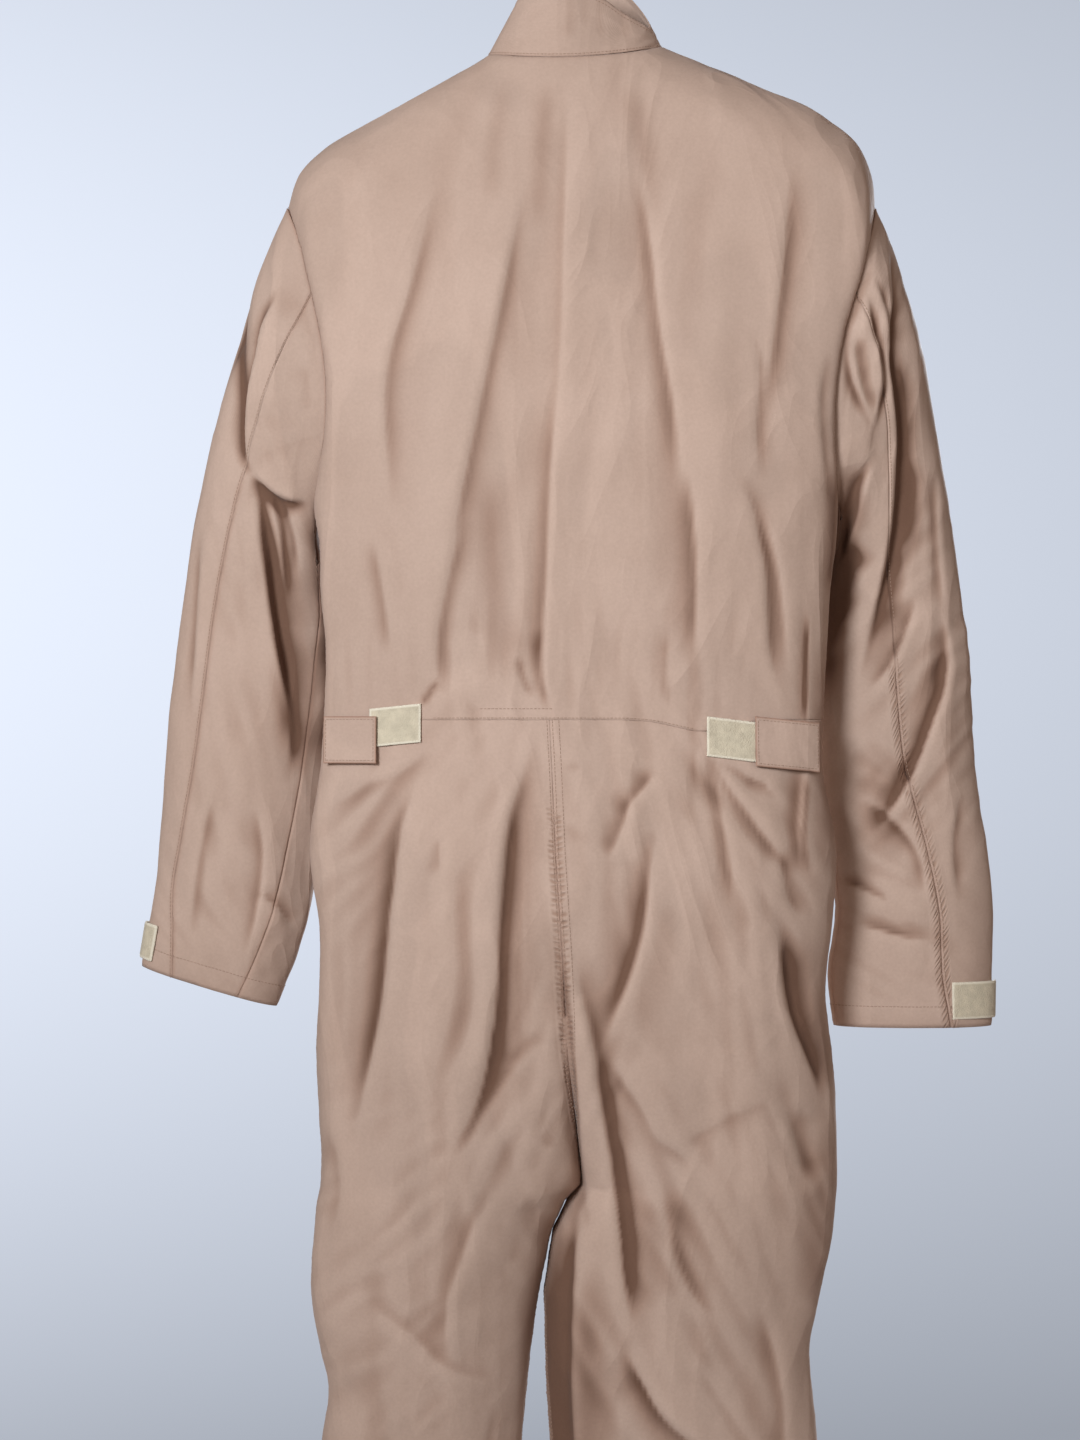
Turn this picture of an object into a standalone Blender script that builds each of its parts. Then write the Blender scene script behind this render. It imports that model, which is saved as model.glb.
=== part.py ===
"""Flight suit on a hanger: cloth panels as thin walls, in metres, +Z up.

The origin is the underside of the hanger hook's crown, where a rail carries it.
The suit's back faces -Y, its zipped front faces +Y, and the wearer's left is at -X.
Tables are in millimetres; "drop" is the distance below the origin, so z = -drop.
"""
import math

import bmesh
import bpy
import numpy as np
from mathutils import Vector
from mathutils.bvhtree import BVHTree

MM = 0.001

# ---------------------------------------------------------------- driving sizes, mm
WALL = 1.2                 # cloth wall
SEAM_GAP = 0.3             # between neighbouring pieces
FOLD_CLEARANCE = 0.3       # more, where panels fold back against each other at a seam
LAID_GAP = 0.45            # between a panel and what lies on it
SIDE_LIFT = 2.0            # of a strap's outer end, where the panel turns
CUFF_LIFT = 1.1            # of a cuff tab over the sleeve's turning side
TAPE_WALL = 1.2            # hook-and-loop tape
WAIST_DROP = 637.0
UNDERARM_DROP = 462.0
TIP_DROP = 213.0
CROTCH_DROP = 1017.0
HEM_DROP = 1730.0
CROTCH_Y = -20.0
SHOULDER_ROLL = 55.0       # height over which the cloth rounds over the shoulder
TORSO_POWER = 2.6          # roundness of the torso section, 2 is an ellipse
LEG_POWER = 2.2
SEAT_START = 800.0         # drop where the legs begin to part from the hip section
ZIP_HALF = 8.0             # centre front to the edge of a front panel
ZIP_END_DROP = 925.0
ZIP_TIP_DROP = 950.0

NECK_X = 3.5
NECK_HALF = 72.5
NECK_Y = -4.0
NECK_BACK = 46.0
NECK_FRONT = 54.0
NECK_SIDE_DROP = (88.0, 82.0)
NECK_BACK_DIP = 15.0
NECK_FRONT_DIP = 74.0

WIRE_RADIUS = 1.9
HOOK_INNER_RADIUS = 18.0
BAR_HALF_DEPTH = 11.0
BAR_HALF_HEIGHT = 8.0
BAR_ENDS = (0.24, 0.20)    # places on the left and right shoulder seams, from the armhole
BAR_STATIONS = 8           # along each shoulder
BAR_SIDES = 12
BAR_MIDDLE = (3.5, -2.0, -93.0)
BAR_TIP = 0.72             # size of the bar's ends against its middle
BAR_CLEAR = 5.0            # under the cloth
BAR_NECK_SINK = 9.0        # lower than that at the neck
BAR_NECK_TAPER = 0.35      # and that much thinner there

# ---------------------------------------------------------------- grid counts
SHOULDER_COLS = 6
NECK_COLS_LEFT = 3
NECK_COLS_RIGHT = 4
FRONT_NECK_COLS = 3
SIDE_ROWS = 6
ARM_ROWS = 10
HIP_ROWS = 10
LEG_ROWS = 9
CAP_ROWS = 7
FOREARM_ROWS = 7
SEAM_COLUMN = 4            # column of the sleeve where its back seam starts
COLLAR_ROWS = 3
TAPE_CELLS = (4, 4)        # across, down
STRAP_CELLS = (6, 4)
TAB_CELLS = (6, 3)

NECK_LEFT_AT = 0.34        # share of the back's width at the left end of the neckline
NECK_RIGHT_AT = 0.64

# ---------------------------------------------------------------- tables of the form
EDGE_COLUMNS = ("drop", "left", "right", "back_y", "front_y", "front_in")
EDGE = (
    (213, -235, 252, -40, 32, 0),
    (245, -222, 243, -44, 32, 7),
    (286, -212, 232, -48, 32, 12),
    (318, -205, 222, -50, 30, 14),
    (351, -200, 216, -50, 26, 13),
    (375, -199, 214, -48, 20, 11),
    (408, -201, 214, -42, 10, 8),
    (433, -205, 216, -33, -2, 4),
    (462, -210, 219, -20, -20, 0),
    (490, -206, 218, -20, -20, 0),
    (530, -205, 213, -20, -20, 0),
    (575, -201, 210, -20, -20, 0),
    (637, -203, 206, -20, -20, 0),
)

DEPTH_COLUMNS = ("drop", "back", "front")
DEPTH = (
    (80, 50, 50),
    (150, 58, 52),
    (213, 66, 54),
    (300, 72, 56),
    (400, 78, 56),
    (462, 78, 55),
    (550, 74, 50),
    (637, 70, 46),
    (674, 74, 47),
    (744, 82, 50),
    (805, 86, 52),
    (859, 86, 52),
    (908, 84, 52),
    (957, 80, 50),
    (1017, 76, 48),
    (1105, 70, 45),
    (1228, 62, 42),
    (1450, 54, 40),
    (1730, 50, 36),
)

SHOULDER_COLUMNS = ("along", "x", "y", "drop")
SHOULDER_LEFT = (
    (0.00, -235, 2, 213),
    (0.09, -228, 3, 189),
    (0.24, -206, 3, 165),
    (0.47, -163, 2, 140),
    (0.73, -115, 0, 114),
    (1.00, -69, -4, 88),
)
SHOULDER_RIGHT = (
    (0.00, 252, 2, 213),
    (0.06, 249, 3, 189),
    (0.14, 239, 3, 164),
    (0.28, 210, 3, 138),
    (0.56, 155, 2, 114),
    (0.82, 104, 0, 92),
    (1.00, 76, -4, 82),
)

LOWER_COLUMNS = ("drop", "left", "left_in", "right_in", "right")
LOWER = (
    (637, -203, -18, -18, 206),
    (674, -206, -16, -16, 205),
    (744, -215, -13, -13, 216),
    (805, -207, -9, -9, 212),
    (859, -206, -6, -6, 207),
    (908, -208, -3, -3, 213),
    (957, -206, 3, 3, 217),
    (1006, -205, 8, 8, 219),
    (1017, -206, 8, 8, 219),
    (1030, -209, -4, 5, 218),
    (1056, -212, -14, 2, 216),
    (1105, -215, -22, -8, 207),
    (1154, -207, -32, -14, 198),
    (1180, -201, -34, -16, 200),
    (1228, -206, -40, -11, 204),
    (1330, -203, -41, -4, 198),
    (1450, -200, -42, 6, 190),
    (1600, -198, -44, 15, 182),
    (1730, -196, -46, 20, 176),
)

SLEEVE_COLUMNS = ("drop", "outer", "inner", "y", "half_depth", "seam_back", "seam_inner")
SLEEVE_LEFT = (
    (560, -330, -206, 30, 30, 62, 150),
    (612, -336, -202, 32, 31, 58, 141),
    (687, -342, -205, 33, 31, 52, 134),
    (737, -345, -211, 32, 30, 47, 129),
    (787, -349, -220, 30, 28, 44, 125),
    (825, -354, -232, 28, 25, 52, 121),
    (860, -359, -247, 26, 22, 60, 117),
)
SLEEVE_RIGHT = (
    (560, 331, 208, 30, 30, 92, 166),
    (612, 335, 206, 32, 31, 90, 166),
    (680, 340, 208, 33, 31, 86, 166),
    (740, 350, 218, 32, 30, 81, 165),
    (800, 356, 225, 30, 28, 76, 164),
    (850, 355, 218, 28, 25, 71, 164),
    (893, 354, 222, 26, 22, 65, 164),
)
# How the cloth leaves the armhole: its lean from straight down, and how far it heads forward.
CAP_COLUMNS = ("around", "lean", "forward")
CAP = (
    (0.00, 26, 0.0),
    (0.20, 27, 0.0),
    (0.35, 40, 0.1),
    (0.44, 50, 0.35),
    (0.50, 42, 0.6),
    (0.56, 50, 0.5),
    (0.65, 40, 0.2),
    (0.80, 27, 0.0),
    (1.00, 26, 0.0),
)
CUFF_TILT = {"left": 0.30, "right": 0.0}   # fall of the cuff edge from outside to inside

COLLAR_COLUMNS = ("angle", "height", "lean")
COLLAR = (
    (-82, 54, 0.10),
    (-60, 56, 0.22),
    (-30, 57, 0.38),
    (0, 58, 0.44),
    (45, 58, 0.34),
    (90, 58, 0.18),
    (111, 48, 0.22),
    (128, 35, 0.30),
    (145, 24, 0.36),
    (163, 18, 0.38),
    (180, 32, 0.40),
    (200, 52, 0.38),
    (230, 57, 0.26),
    (262, 54, 0.10),
)

# The largest folds of the back. Each follows a path of (x, drop) points; the cloth stands
# up by "rise" on the side the path has at its left, and sinks by "dip" on the other.
FOLD_COLUMNS = ("path", "rise", "rise_width", "dip", "dip_width")
BACK_FOLDS = (
    (((-5, 200), (-10, 350), (-18, 445), (-24, 613)), 5, 26, 4, 30),
    (((-38, 205), (-66, 350), (-82, 435), (-106, 573)), 0, 30, 5, 26),
    (((-111, 230), (-146, 350), (-142, 493)), 3, 30, 4, 26),
    (((53, 206), (71, 328), (89, 427), (99, 573)), 4, 26, 5, 26),
    (((128, 434), (145, 475), (154, 524), (166, 621)), 4, 24, 4, 24),
    (((174, 206), (159, 353), (154, 402)), 0, 30, 5, 30),
    (((-26, 641), (-46, 741), (-60, 901), (-102, 989)), 5, 26, 5, 26),
    (((-118, 645), (-142, 821), (-162, 941), (-186, 1093)), 4, 26, 4, 26),
    (((1, 829), (14, 901), (22, 981), (34, 1061), (58, 1157)), 10, 24, 8, 24),
    (((122, 669), (142, 725), (158, 781)), 4, 22, 4, 22),
    (((102, 725), (82, 781), (46, 909)), 4, 24, 4, 24),
    (((-96, 990), (-80, 1080), (-92, 1240), (-105, 1420)), 5, 28, 5, 28),
    (((110, 1050), (150, 1150), (120, 1300), (105, 1480)), 5, 28, 5, 28),
)
# The hidden front hangs in its own softer folds.
FRONT_FOLDS = (
    (((-120, 210), (-100, 400), (-80, 600)), 4, 28, 4, 28),
    (((130, 210), (110, 400), (95, 600)), 4, 28, 4, 28),
    (((-150, 300), (-160, 450), (-140, 600)), 3, 26, 4, 26),
    (((160, 300), (165, 450), (150, 600)), 3, 26, 4, 26),
    (((-110, 660), (-90, 850), (-60, 980)), 4, 26, 4, 26),
    (((100, 660), (90, 850), (60, 980)), 4, 26, 4, 26),
    (((-120, 1060), (-110, 1250), (-125, 1500)), 4, 28, 4, 28),
    (((100, 1060), (110, 1250), (98, 1500)), 4, 28, 4, 28),
)
SLEEVE_FOLDS = {
    "left": (
        (((-242, 270), (-262, 340), (-271, 430), (-258, 445)), 9, 22, 8, 20),
        (((-258, 447), (-252, 520), (-240, 600)), 5, 20, 6, 20),
    ),
    "right": (
        (((258, 300), (266, 400), (268, 470)), 6, 20, 7, 20),
        (((300, 540), (312, 620), (300, 700), (262, 760)), 6, 24, 5, 22),
    ),
}

# Pieces laid on the panels, in mm: x runs along the back, drop down it.
WAIST_TAPES = {
    "left": {"x": (-163.0, -121.0), "drop": (628.0, 659.0), "slope": 0.0},
    "right": {"x": (108.0, 152.0), "drop": (634.0, 666.0), "slope": 0.0},
}
WAIST_STRAPS = {
    "left": {"x": (-201.0, -157.0), "drop": (634.0, 672.0), "slope": 0.0},
    "right": {"x": (147.0, 201.0), "drop": (634.0, 674.0), "slope": 0.10},
}
CUFF_TABS = {
    "left": {"angles": (-34.0, 34.0), "above_edge": (8.0, 39.0)},
    "right": {"angles": (2.0, 74.0), "above_edge": (7.0, 38.0)},
}

SLIDER_DROP = 190.0
SLIDER_SIZE = (9.0, 4.2, 13.0)
BRIDGE_WIDTH = 2.4
BRIDGE_REACH = 4.4
BRIDGE_HALF_LENGTH = 4.2
BRIDGE_WIRE = 1.3
PULL_SIZE = (8.4, 1.4, 32.0)
PULL_WINDOW = (4.4, 6.4)
PULL_BAR = 1.4
PULL_HOLE = 3.2
PULL_HOLE_UP = 5.0         # middle of the hole above the tab's end
PULL_CORNER = 2.0
PULL_WINDOW_CORNER = 0.6
SLIDER_STAND = 1.6         # of the slider's back off the zip
POST_SINK = 0.5            # of the bridge's posts into the slider

TAN = (0.50, 0.355, 0.275, 1.0)
TAPE_TAN = (0.54, 0.46, 0.31, 1.0)
STEEL = (0.55, 0.55, 0.56, 1.0)
BRASS = (0.55, 0.42, 0.20, 1.0)
WOOD = (0.42, 0.27, 0.15, 1.0)


# ---------------------------------------------------------------- curves and tables
def smooth(xs, ys, x):
    """Cubic curve through (xs, ys): each span is a Hermite piece with centred slopes."""
    xs = np.asarray(xs, float)
    ys = np.asarray(ys, float)
    slopes = np.gradient(ys, xs)
    x = np.clip(np.asarray(x, float), xs[0], xs[-1])
    i = np.clip(np.searchsorted(xs, x, side="right") - 1, 0, len(xs) - 2)
    span = xs[i + 1] - xs[i]
    t = (x - xs[i]) / span
    start = (1 + 2 * t) * (1 - t) ** 2 * ys[i] + t * (1 - t) ** 2 * span * slopes[i]
    end = t * t * (3 - 2 * t) * ys[i + 1] + t * t * (t - 1) * span * slopes[i + 1]
    return start + end


def read(table, columns, name, at):
    """The named column of a table, smoothed along the table's first column."""
    rows = np.array(table, float)
    return smooth(rows[:, 0], rows[:, columns.index(name)], at)


def rounded(q, power):
    """One at q = 0 and falling to zero at q = 1, as a superellipse of that power."""
    return (1 - np.clip(np.abs(q), 0, 1) ** power) ** (1 / power)


def ramp(low, high, x):
    """Zero below low, one above high, smooth between."""
    t = np.clip((x - low) / (high - low), 0, 1)
    return t * t * (3 - 2 * t)


def length(v):
    return np.linalg.norm(v, axis=-1, keepdims=True)


# ---------------------------------------------------------------- the torso's lines
def shoulder_roll(below_top):
    """How far the cloth has turned from the shoulder seam to the full depth, 0 to 1."""
    return np.sqrt(1 - (1 - np.clip(below_top / SHOULDER_ROLL, 0, 1)) ** 2)


def edge_point(side, face, drop):
    """A point on the side seam or the armhole: x and y from the edge table."""
    armhole_part = drop < UNDERARM_DROP
    x = read(EDGE, EDGE_COLUMNS, side, drop)
    y = np.where(armhole_part, read(EDGE, EDGE_COLUMNS, face + "_y", drop), CROTCH_Y)
    if face == "front":
        inset = np.where(armhole_part, read(EDGE, EDGE_COLUMNS, "front_in", drop), 0.0)
        x = x + inset * (1 if side == "left" else -1)
    tip_y = SHOULDER_LEFT[0][2]
    y = tip_y + (y - tip_y) * shoulder_roll(drop - TIP_DROP)
    return x, y


def neck_point(angle):
    """The neck seam at an angle: 0 is the left side, 90 the back, 180 right, 270 front."""
    a = np.radians(angle)
    across = -np.cos(a)
    depth = np.sin(a)
    x = NECK_X + NECK_HALF * across
    y = NECK_Y - np.where(depth > 0, NECK_BACK, NECK_FRONT) * depth
    side = NECK_SIDE_DROP[0] + (NECK_SIDE_DROP[1] - NECK_SIDE_DROP[0]) * (across + 1) / 2
    dip = np.where(depth > 0, NECK_BACK_DIP * np.abs(depth) ** 1.6, NECK_FRONT_DIP * np.abs(depth) ** 2.6)
    return x, y, side + dip


def shoulder_point(side, along):
    """The shoulder seam from the armhole (0) to the neck (1)."""
    table = SHOULDER_LEFT if side == "left" else SHOULDER_RIGHT
    return tuple(read(table, SHOULDER_COLUMNS, c, along) for c in ("x", "y", "drop"))


def waist_sag(x):
    """The waist seam hangs a little lower right of the middle."""
    return 9.0 * np.exp(-((x - 105.0) / 32.0) ** 2)


def edge_rows():
    """Drops of the grid rows on a bodice edge, from the waist up to the shoulder tip."""
    side = np.linspace(WAIST_DROP, UNDERARM_DROP, SIDE_ROWS + 1)
    up = 1 - np.linspace(0, 1, ARM_ROWS + 1)[1:]
    arm = TIP_DROP + (UNDERARM_DROP - TIP_DROP) * up ** 1.25
    return np.concatenate([side, arm])


def seat_share():
    """Share of the waist's width at which the seat seam meets it."""
    left, seam, right = (LOWER[0][LOWER_COLUMNS.index(c)] for c in ("left", "left_in", "right"))
    return (seam - left) / (right - left)


def side_spacing(count):
    """Column places from a side edge inwards, closer together near the edge."""
    return 1 - np.cos(np.linspace(0, math.pi / 2, count + 1))


def back_columns():
    """Shares of the back's width at its columns, with one on each neck end and the seat seam."""
    seat = seat_share()
    left = NECK_LEFT_AT * side_spacing(SHOULDER_COLS)
    mid_left = np.linspace(NECK_LEFT_AT, seat, NECK_COLS_LEFT + 1)[1:]
    mid_right = np.linspace(seat, NECK_RIGHT_AT, NECK_COLS_RIGHT + 1)[1:]
    right = 1 - (1 - NECK_RIGHT_AT) * side_spacing(SHOULDER_COLS)[::-1]
    return np.concatenate([left, mid_left, mid_right, right[1:]])


def front_columns():
    """Shares of half the front's width, from the side seam to the zip."""
    share = 2 * NECK_LEFT_AT
    outer = share * side_spacing(SHOULDER_COLS)
    inner = np.linspace(share, 1, FRONT_NECK_COLS + 1)[1:]
    return np.concatenate([outer, inner])


def zip_edge(drop):
    """Half width of the zip between the two fronts at a drop."""
    return ZIP_HALF * np.clip((ZIP_TIP_DROP - drop) / (ZIP_TIP_DROP - ZIP_END_DROP), 0, 1)


def front_centre(drop):
    """x of the centre front line."""
    return smooth((80, 637, CROTCH_DROP), (NECK_X, 2.0, 8.0), drop)


def torso_y(x, left, right, edge_y, deep):
    """The torso's section: a superellipse from an edge's y out to the full depth."""
    q = (2 * x - left - right) / (right - left)
    return edge_y + (deep - edge_y) * rounded(q, TORSO_POWER)


# ---------------------------------------------------------------- panels as grids
def back_bodice():
    """Rows run from the waist to the shoulder and neck, columns from left to right."""
    drops = edge_rows()
    up = (WAIST_DROP - drops) / (WAIST_DROP - TIP_DROP)
    share = back_columns()
    lx, ly = edge_point("left", "back", drops)
    rx, ry = edge_point("right", "back", drops)
    x = lx[:, None] + (rx - lx)[:, None] * share
    edge_y = ly[:, None] + (ry - ly)[:, None] * share
    top = np.array([back_top_point(i, s) for i, s in enumerate(share)])
    grow = ramp(0.45, 1.0, up)[:, None]
    x = x + (top[:, 0] - x[-1]) * grow
    waist = WAIST_DROP + waist_sag(x[0])
    drop = waist + (top[:, 2] - waist) * up[:, None]
    deep = -read(DEPTH, DEPTH_COLUMNS, "back", drop)
    q = 2 * share - 1
    body = edge_y + (deep - edge_y) * rounded(q, TORSO_POWER)
    roll = shoulder_roll(drop - top[:, 2])
    roll[:, 0] = 1
    roll[:, -1] = 1
    y = top[:, 1] + (body - top[:, 1]) * roll
    y[:, 0] = ly
    y[:, -1] = ry
    return np.stack([x, y, -drop], axis=-1)


def back_top_point(index, share):
    """The back's top edge at a column: a shoulder seam, the neckline, or the other shoulder."""
    neck_end = SHOULDER_COLS + NECK_COLS_LEFT + NECK_COLS_RIGHT
    if index <= SHOULDER_COLS:
        return shoulder_point("left", share / NECK_LEFT_AT)
    if index >= neck_end:
        return shoulder_point("right", (1 - share) / (1 - NECK_RIGHT_AT))
    return neck_point(180 * (share - NECK_LEFT_AT) / (NECK_RIGHT_AT - NECK_LEFT_AT))


def front_bodice(side):
    """Half the front, rows from the waist up, columns from the side seam to the zip."""
    sign = -1 if side == "left" else 1
    drops = edge_rows()
    up = (WAIST_DROP - drops) / (WAIST_DROP - TIP_DROP)
    share = front_columns()
    ex, ey = edge_point(side, "front", drops)
    top = np.array([front_top_point(side, i, s) for i, s in enumerate(share)])
    left, right = (read(EDGE, EDGE_COLUMNS, s, drops) for s in ("left", "right"))
    middle = (left + right) / 2
    inner = front_centre(drops) + sign * zip_edge(drops)
    x = ex[:, None] + (inner - ex)[:, None] * share
    x = x + (top[:, 0] - x[-1]) * ramp(0.45, 1.0, up)[:, None]
    drop = WAIST_DROP + (top[:, 2] - WAIST_DROP) * up[:, None]
    deep = read(DEPTH, DEPTH_COLUMNS, "front", drop)
    q = (x - middle[:, None]) / (ex - middle)[:, None]
    body = ey[:, None] + (deep - ey[:, None]) * rounded(q, TORSO_POWER)
    roll = shoulder_roll(drop - top[:, 2])
    y = top[:, 1] + (body - top[:, 1]) * roll
    y[:, 0] = ey
    return np.stack([x, y, -drop], axis=-1)


def front_top_point(side, index, share):
    """The front's top edge: the shoulder seam, then the neckline down to the zip."""
    if index <= SHOULDER_COLS:
        return shoulder_point(side, share / (2 * NECK_LEFT_AT))
    step = (index - SHOULDER_COLS) / FRONT_NECK_COLS
    reach = 90 - math.degrees(math.asin(ZIP_HALF / NECK_HALF))
    angle = -step * reach if side == "left" else 180 + step * reach
    return neck_point(angle)


def lower_rows():
    """Drops of the rows below the waist, with one on the crotch and one on the zip's end."""
    hip = np.linspace(WAIST_DROP, ZIP_END_DROP, HIP_ROWS - 2)
    seat = np.array([ZIP_TIP_DROP, 985.0, CROTCH_DROP])
    leg = np.linspace(CROTCH_DROP, HEM_DROP, LEG_ROWS + 1)[1:]
    near = np.array([1030.0, 1048.0])
    return np.concatenate([hip, seat, near, leg])


def trouser_panel(side, face):
    """One leg's front or back from the waist to the hem, side seam to inner edge.

    Above the crotch the section is the hip's; below, the leg's closed ring; between,
    the first turns into the second, which bends the seat seam under the body.
    """
    sign = -1 if side == "left" else 1
    drops = lower_rows()
    outer = read(LOWER, LOWER_COLUMNS, side, drops)
    other = read(LOWER, LOWER_COLUMNS, "right" if side == "left" else "left", drops)
    inner = np.interp(drops, [r[0] for r in LOWER], [r[LOWER_COLUMNS.index(side + "_in")] for r in LOWER])
    if face == "front":
        centre = front_centre(drops) + sign * zip_edge(drops)
        inner = np.where(drops < CROTCH_DROP, centre, inner)
    part = np.clip((drops - SEAT_START) / (CROTCH_DROP - SEAT_START), 0, 1) ** 2.5
    columns = trouser_columns(side, face)
    ring = (1 - np.cos(np.linspace(0, math.pi, len(columns)))) / 2
    share = columns + (ring - columns) * part[:, None]
    x = outer[:, None] + (inner - outer)[:, None] * share
    depth = read(DEPTH, DEPTH_COLUMNS, face, drops)[:, None]
    deep = -depth if face == "back" else depth
    edge_y = np.full_like(x, CROTCH_Y)
    left = np.minimum(outer, other)[:, None]
    right = np.maximum(outer, other)[:, None]
    hip = torso_y(x, left, right, edge_y, deep)
    leg = edge_y + (deep - edge_y) * rounded(2 * share - 1, LEG_POWER)
    y = hip + (leg - hip) * part[:, None]
    sag = waist_sag(x) if face == "back" else 0 * x
    drop = drops[:, None] + sag * (1 - ramp(0, 120, drops - WAIST_DROP))[:, None]
    return np.stack([x, y, -drop], axis=-1)


def trouser_columns(side, face):
    """Column places at the waist, the same as on the bodice above."""
    if face == "front":
        return front_columns()
    seat = seat_share()
    share = back_columns()
    seam = SHOULDER_COLS + NECK_COLS_LEFT
    if side == "left":
        return share[:seam + 1] / seat
    return (1 - share[seam:][::-1]) / (1 - seat)


def armhole(side):
    """The armhole as one ring: down the back from the shoulder tip, then up the front."""
    drops = edge_rows()[SIDE_ROWS:]
    rings = []
    for face, order in (("back", drops[::-1]), ("front", drops[1:])):
        x, y = edge_point(side, face, order)
        rings.append(np.stack([x, y, -order], axis=-1))
    return np.concatenate(rings)


def sleeve_angles(table, drop):
    """Angle of every sleeve column at a drop, 0 outside, 90 back, 180 inside."""
    back = read(table, SLEEVE_COLUMNS, "seam_back", drop)
    inner = read(table, SLEEVE_COLUMNS, "seam_inner", drop)
    places = (0, SEAM_COLUMN, ARM_ROWS, 2 * ARM_ROWS)
    return np.interp(np.arange(2 * ARM_ROWS + 1), places, (0, back, inner, 360))


def sleeve_ring(side, drop, angle):
    """A flattened ring of the sleeve; near the cuff it tilts."""
    table = SLEEVE_LEFT if side == "left" else SLEEVE_RIGHT
    outer, inner, y, half = (read(table, SLEEVE_COLUMNS, c, drop)
                             for c in ("outer", "inner", "y", "half_depth"))
    a = np.radians(angle)
    x = (outer + inner) / 2 + (outer - inner) / 2 * np.cos(a)
    y = y - half * np.sin(a)
    first, last = table[0][0], table[-1][0]
    tilt = CUFF_TILT[side] * ((drop - first) / (last - first)) ** 2
    z = -drop - tilt * np.abs(x - outer) + tilt * np.abs(inner - outer) / 2
    return np.stack(np.broadcast_arrays(x, y, z), axis=-1)


def sleeve(side):
    """The whole sleeve: a smooth span from the armhole to a level ring, then the sections."""
    sign = -1 if side == "left" else 1
    table = SLEEVE_LEFT if side == "left" else SLEEVE_RIGHT
    start = armhole(side)
    angles = sleeve_angles(table, table[0][0])
    level = sleeve_ring(side, float(table[0][0]), angles)
    reach = length(level - start)
    around = np.linspace(0, 1, len(angles))
    lean = np.radians(read(CAP, CAP_COLUMNS, "lean", around))
    forward = read(CAP, CAP_COLUMNS, "forward", around)
    away = np.stack([sign * np.sin(lean), forward, -np.cos(lean)], axis=-1)
    down = np.array([sign * 0.14, 0.0, -0.99])
    t = np.linspace(0, 1, CAP_ROWS + 1)[:, None, None]
    cap = ((1 + 2 * t) * (1 - t) ** 2 * start + t * (1 - t) ** 2 * reach * away
           + t * t * (3 - 2 * t) * level + t * t * (t - 1) * reach * down)
    rings = [sleeve_ring(side, d, sleeve_angles(table, d))
             for d in np.linspace(table[0][0], table[-1][0], FOREARM_ROWS + 1)[1:]]
    return np.concatenate([cap, np.array(rings)])


def sleeve_panels(side):
    """The under sleeve between its two seams, and the upper sleeve round the rest."""
    whole = sleeve(side)
    under = whole[:, SEAM_COLUMN:ARM_ROWS + 1]
    upper = np.concatenate([whole[:, ARM_ROWS:-1], whole[:, :SEAM_COLUMN + 1]], axis=1)
    return under, upper


def collar_grid():
    """The stand collar: the neck seam's points carried up and leant inwards."""
    reach = 90 - math.degrees(math.asin(ZIP_HALF / NECK_HALF))
    front = np.linspace(reach, 0, FRONT_NECK_COLS + 1)
    share = back_columns()[SHOULDER_COLS:-SHOULDER_COLS]
    back = 180 * (share - NECK_LEFT_AT) / (NECK_RIGHT_AT - NECK_LEFT_AT)
    angle = np.concatenate([-front[:-1], back, 180 + front[::-1][1:]])
    height = read(COLLAR, COLLAR_COLUMNS, "height", angle)
    lean = read(COLLAR, COLLAR_COLUMNS, "lean", angle)
    x, y, drop = neck_point(angle)
    rows = []
    for t in np.linspace(0, 1, COLLAR_ROWS + 1):
        inward = 1 - lean * t * height / 58.0
        rows.append(np.stack([NECK_X + (x - NECK_X) * inward,
                              NECK_Y + (y - NECK_Y) * inward,
                              -drop + height * t], axis=-1))
    return np.array(rows)


def zip_tape(side):
    """One zip tape, from the neck seam to the zip's end, between centre line and front."""
    sign = -1 if side == "left" else 1
    upper = front_bodice(side)[:, -1]
    lower = trouser_panel(side, "front")[:, -1]
    last = int(np.searchsorted(lower_rows(), ZIP_END_DROP))
    edge = np.concatenate([upper[::-1], lower[1:last + 1]])
    tip = lower[last] + 0.8 * (lower[last + 1] - lower[last])
    edge = np.concatenate([edge, tip[None]])
    centre = edge.copy()
    centre[:, 0] = front_centre(-edge[:, 2])
    grid = np.stack([edge, centre], axis=1)
    return grid if sign > 0 else grid[:, ::-1]


# ---------------------------------------------------------------- folds
def path_distance(x, drop, path):
    """Signed distance to a smoothed path, positive at its left, and the place along it."""
    points = np.array(path, float)
    steps = np.concatenate([[0], np.cumsum(length(np.diff(points, axis=0))[:, 0])])
    fine = np.linspace(0, steps[-1], 40)
    line = np.stack([smooth(steps, points[:, 0], fine), smooth(steps, points[:, 1], fine)], axis=-1)
    a = line[:-1]
    ab = line[1:] - a
    p = np.stack([x, drop], axis=-1)[..., None, :]
    t = np.clip(((p - a) * ab).sum(-1) / (ab ** 2).sum(-1), 0, 1)
    off = p - (a + t[..., None] * ab)
    dist = length(off)[..., 0]
    near = dist.argmin(-1)
    pick = np.take_along_axis
    side = ab[near][..., 0] * pick(off[..., 1], near[..., None], -1)[..., 0] \
        - ab[near][..., 1] * pick(off[..., 0], near[..., None], -1)[..., 0]
    along = (near + pick(t, near[..., None], -1)[..., 0]) / len(a)
    return -np.sign(side) * pick(dist, near[..., None], -1)[..., 0], along


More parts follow.
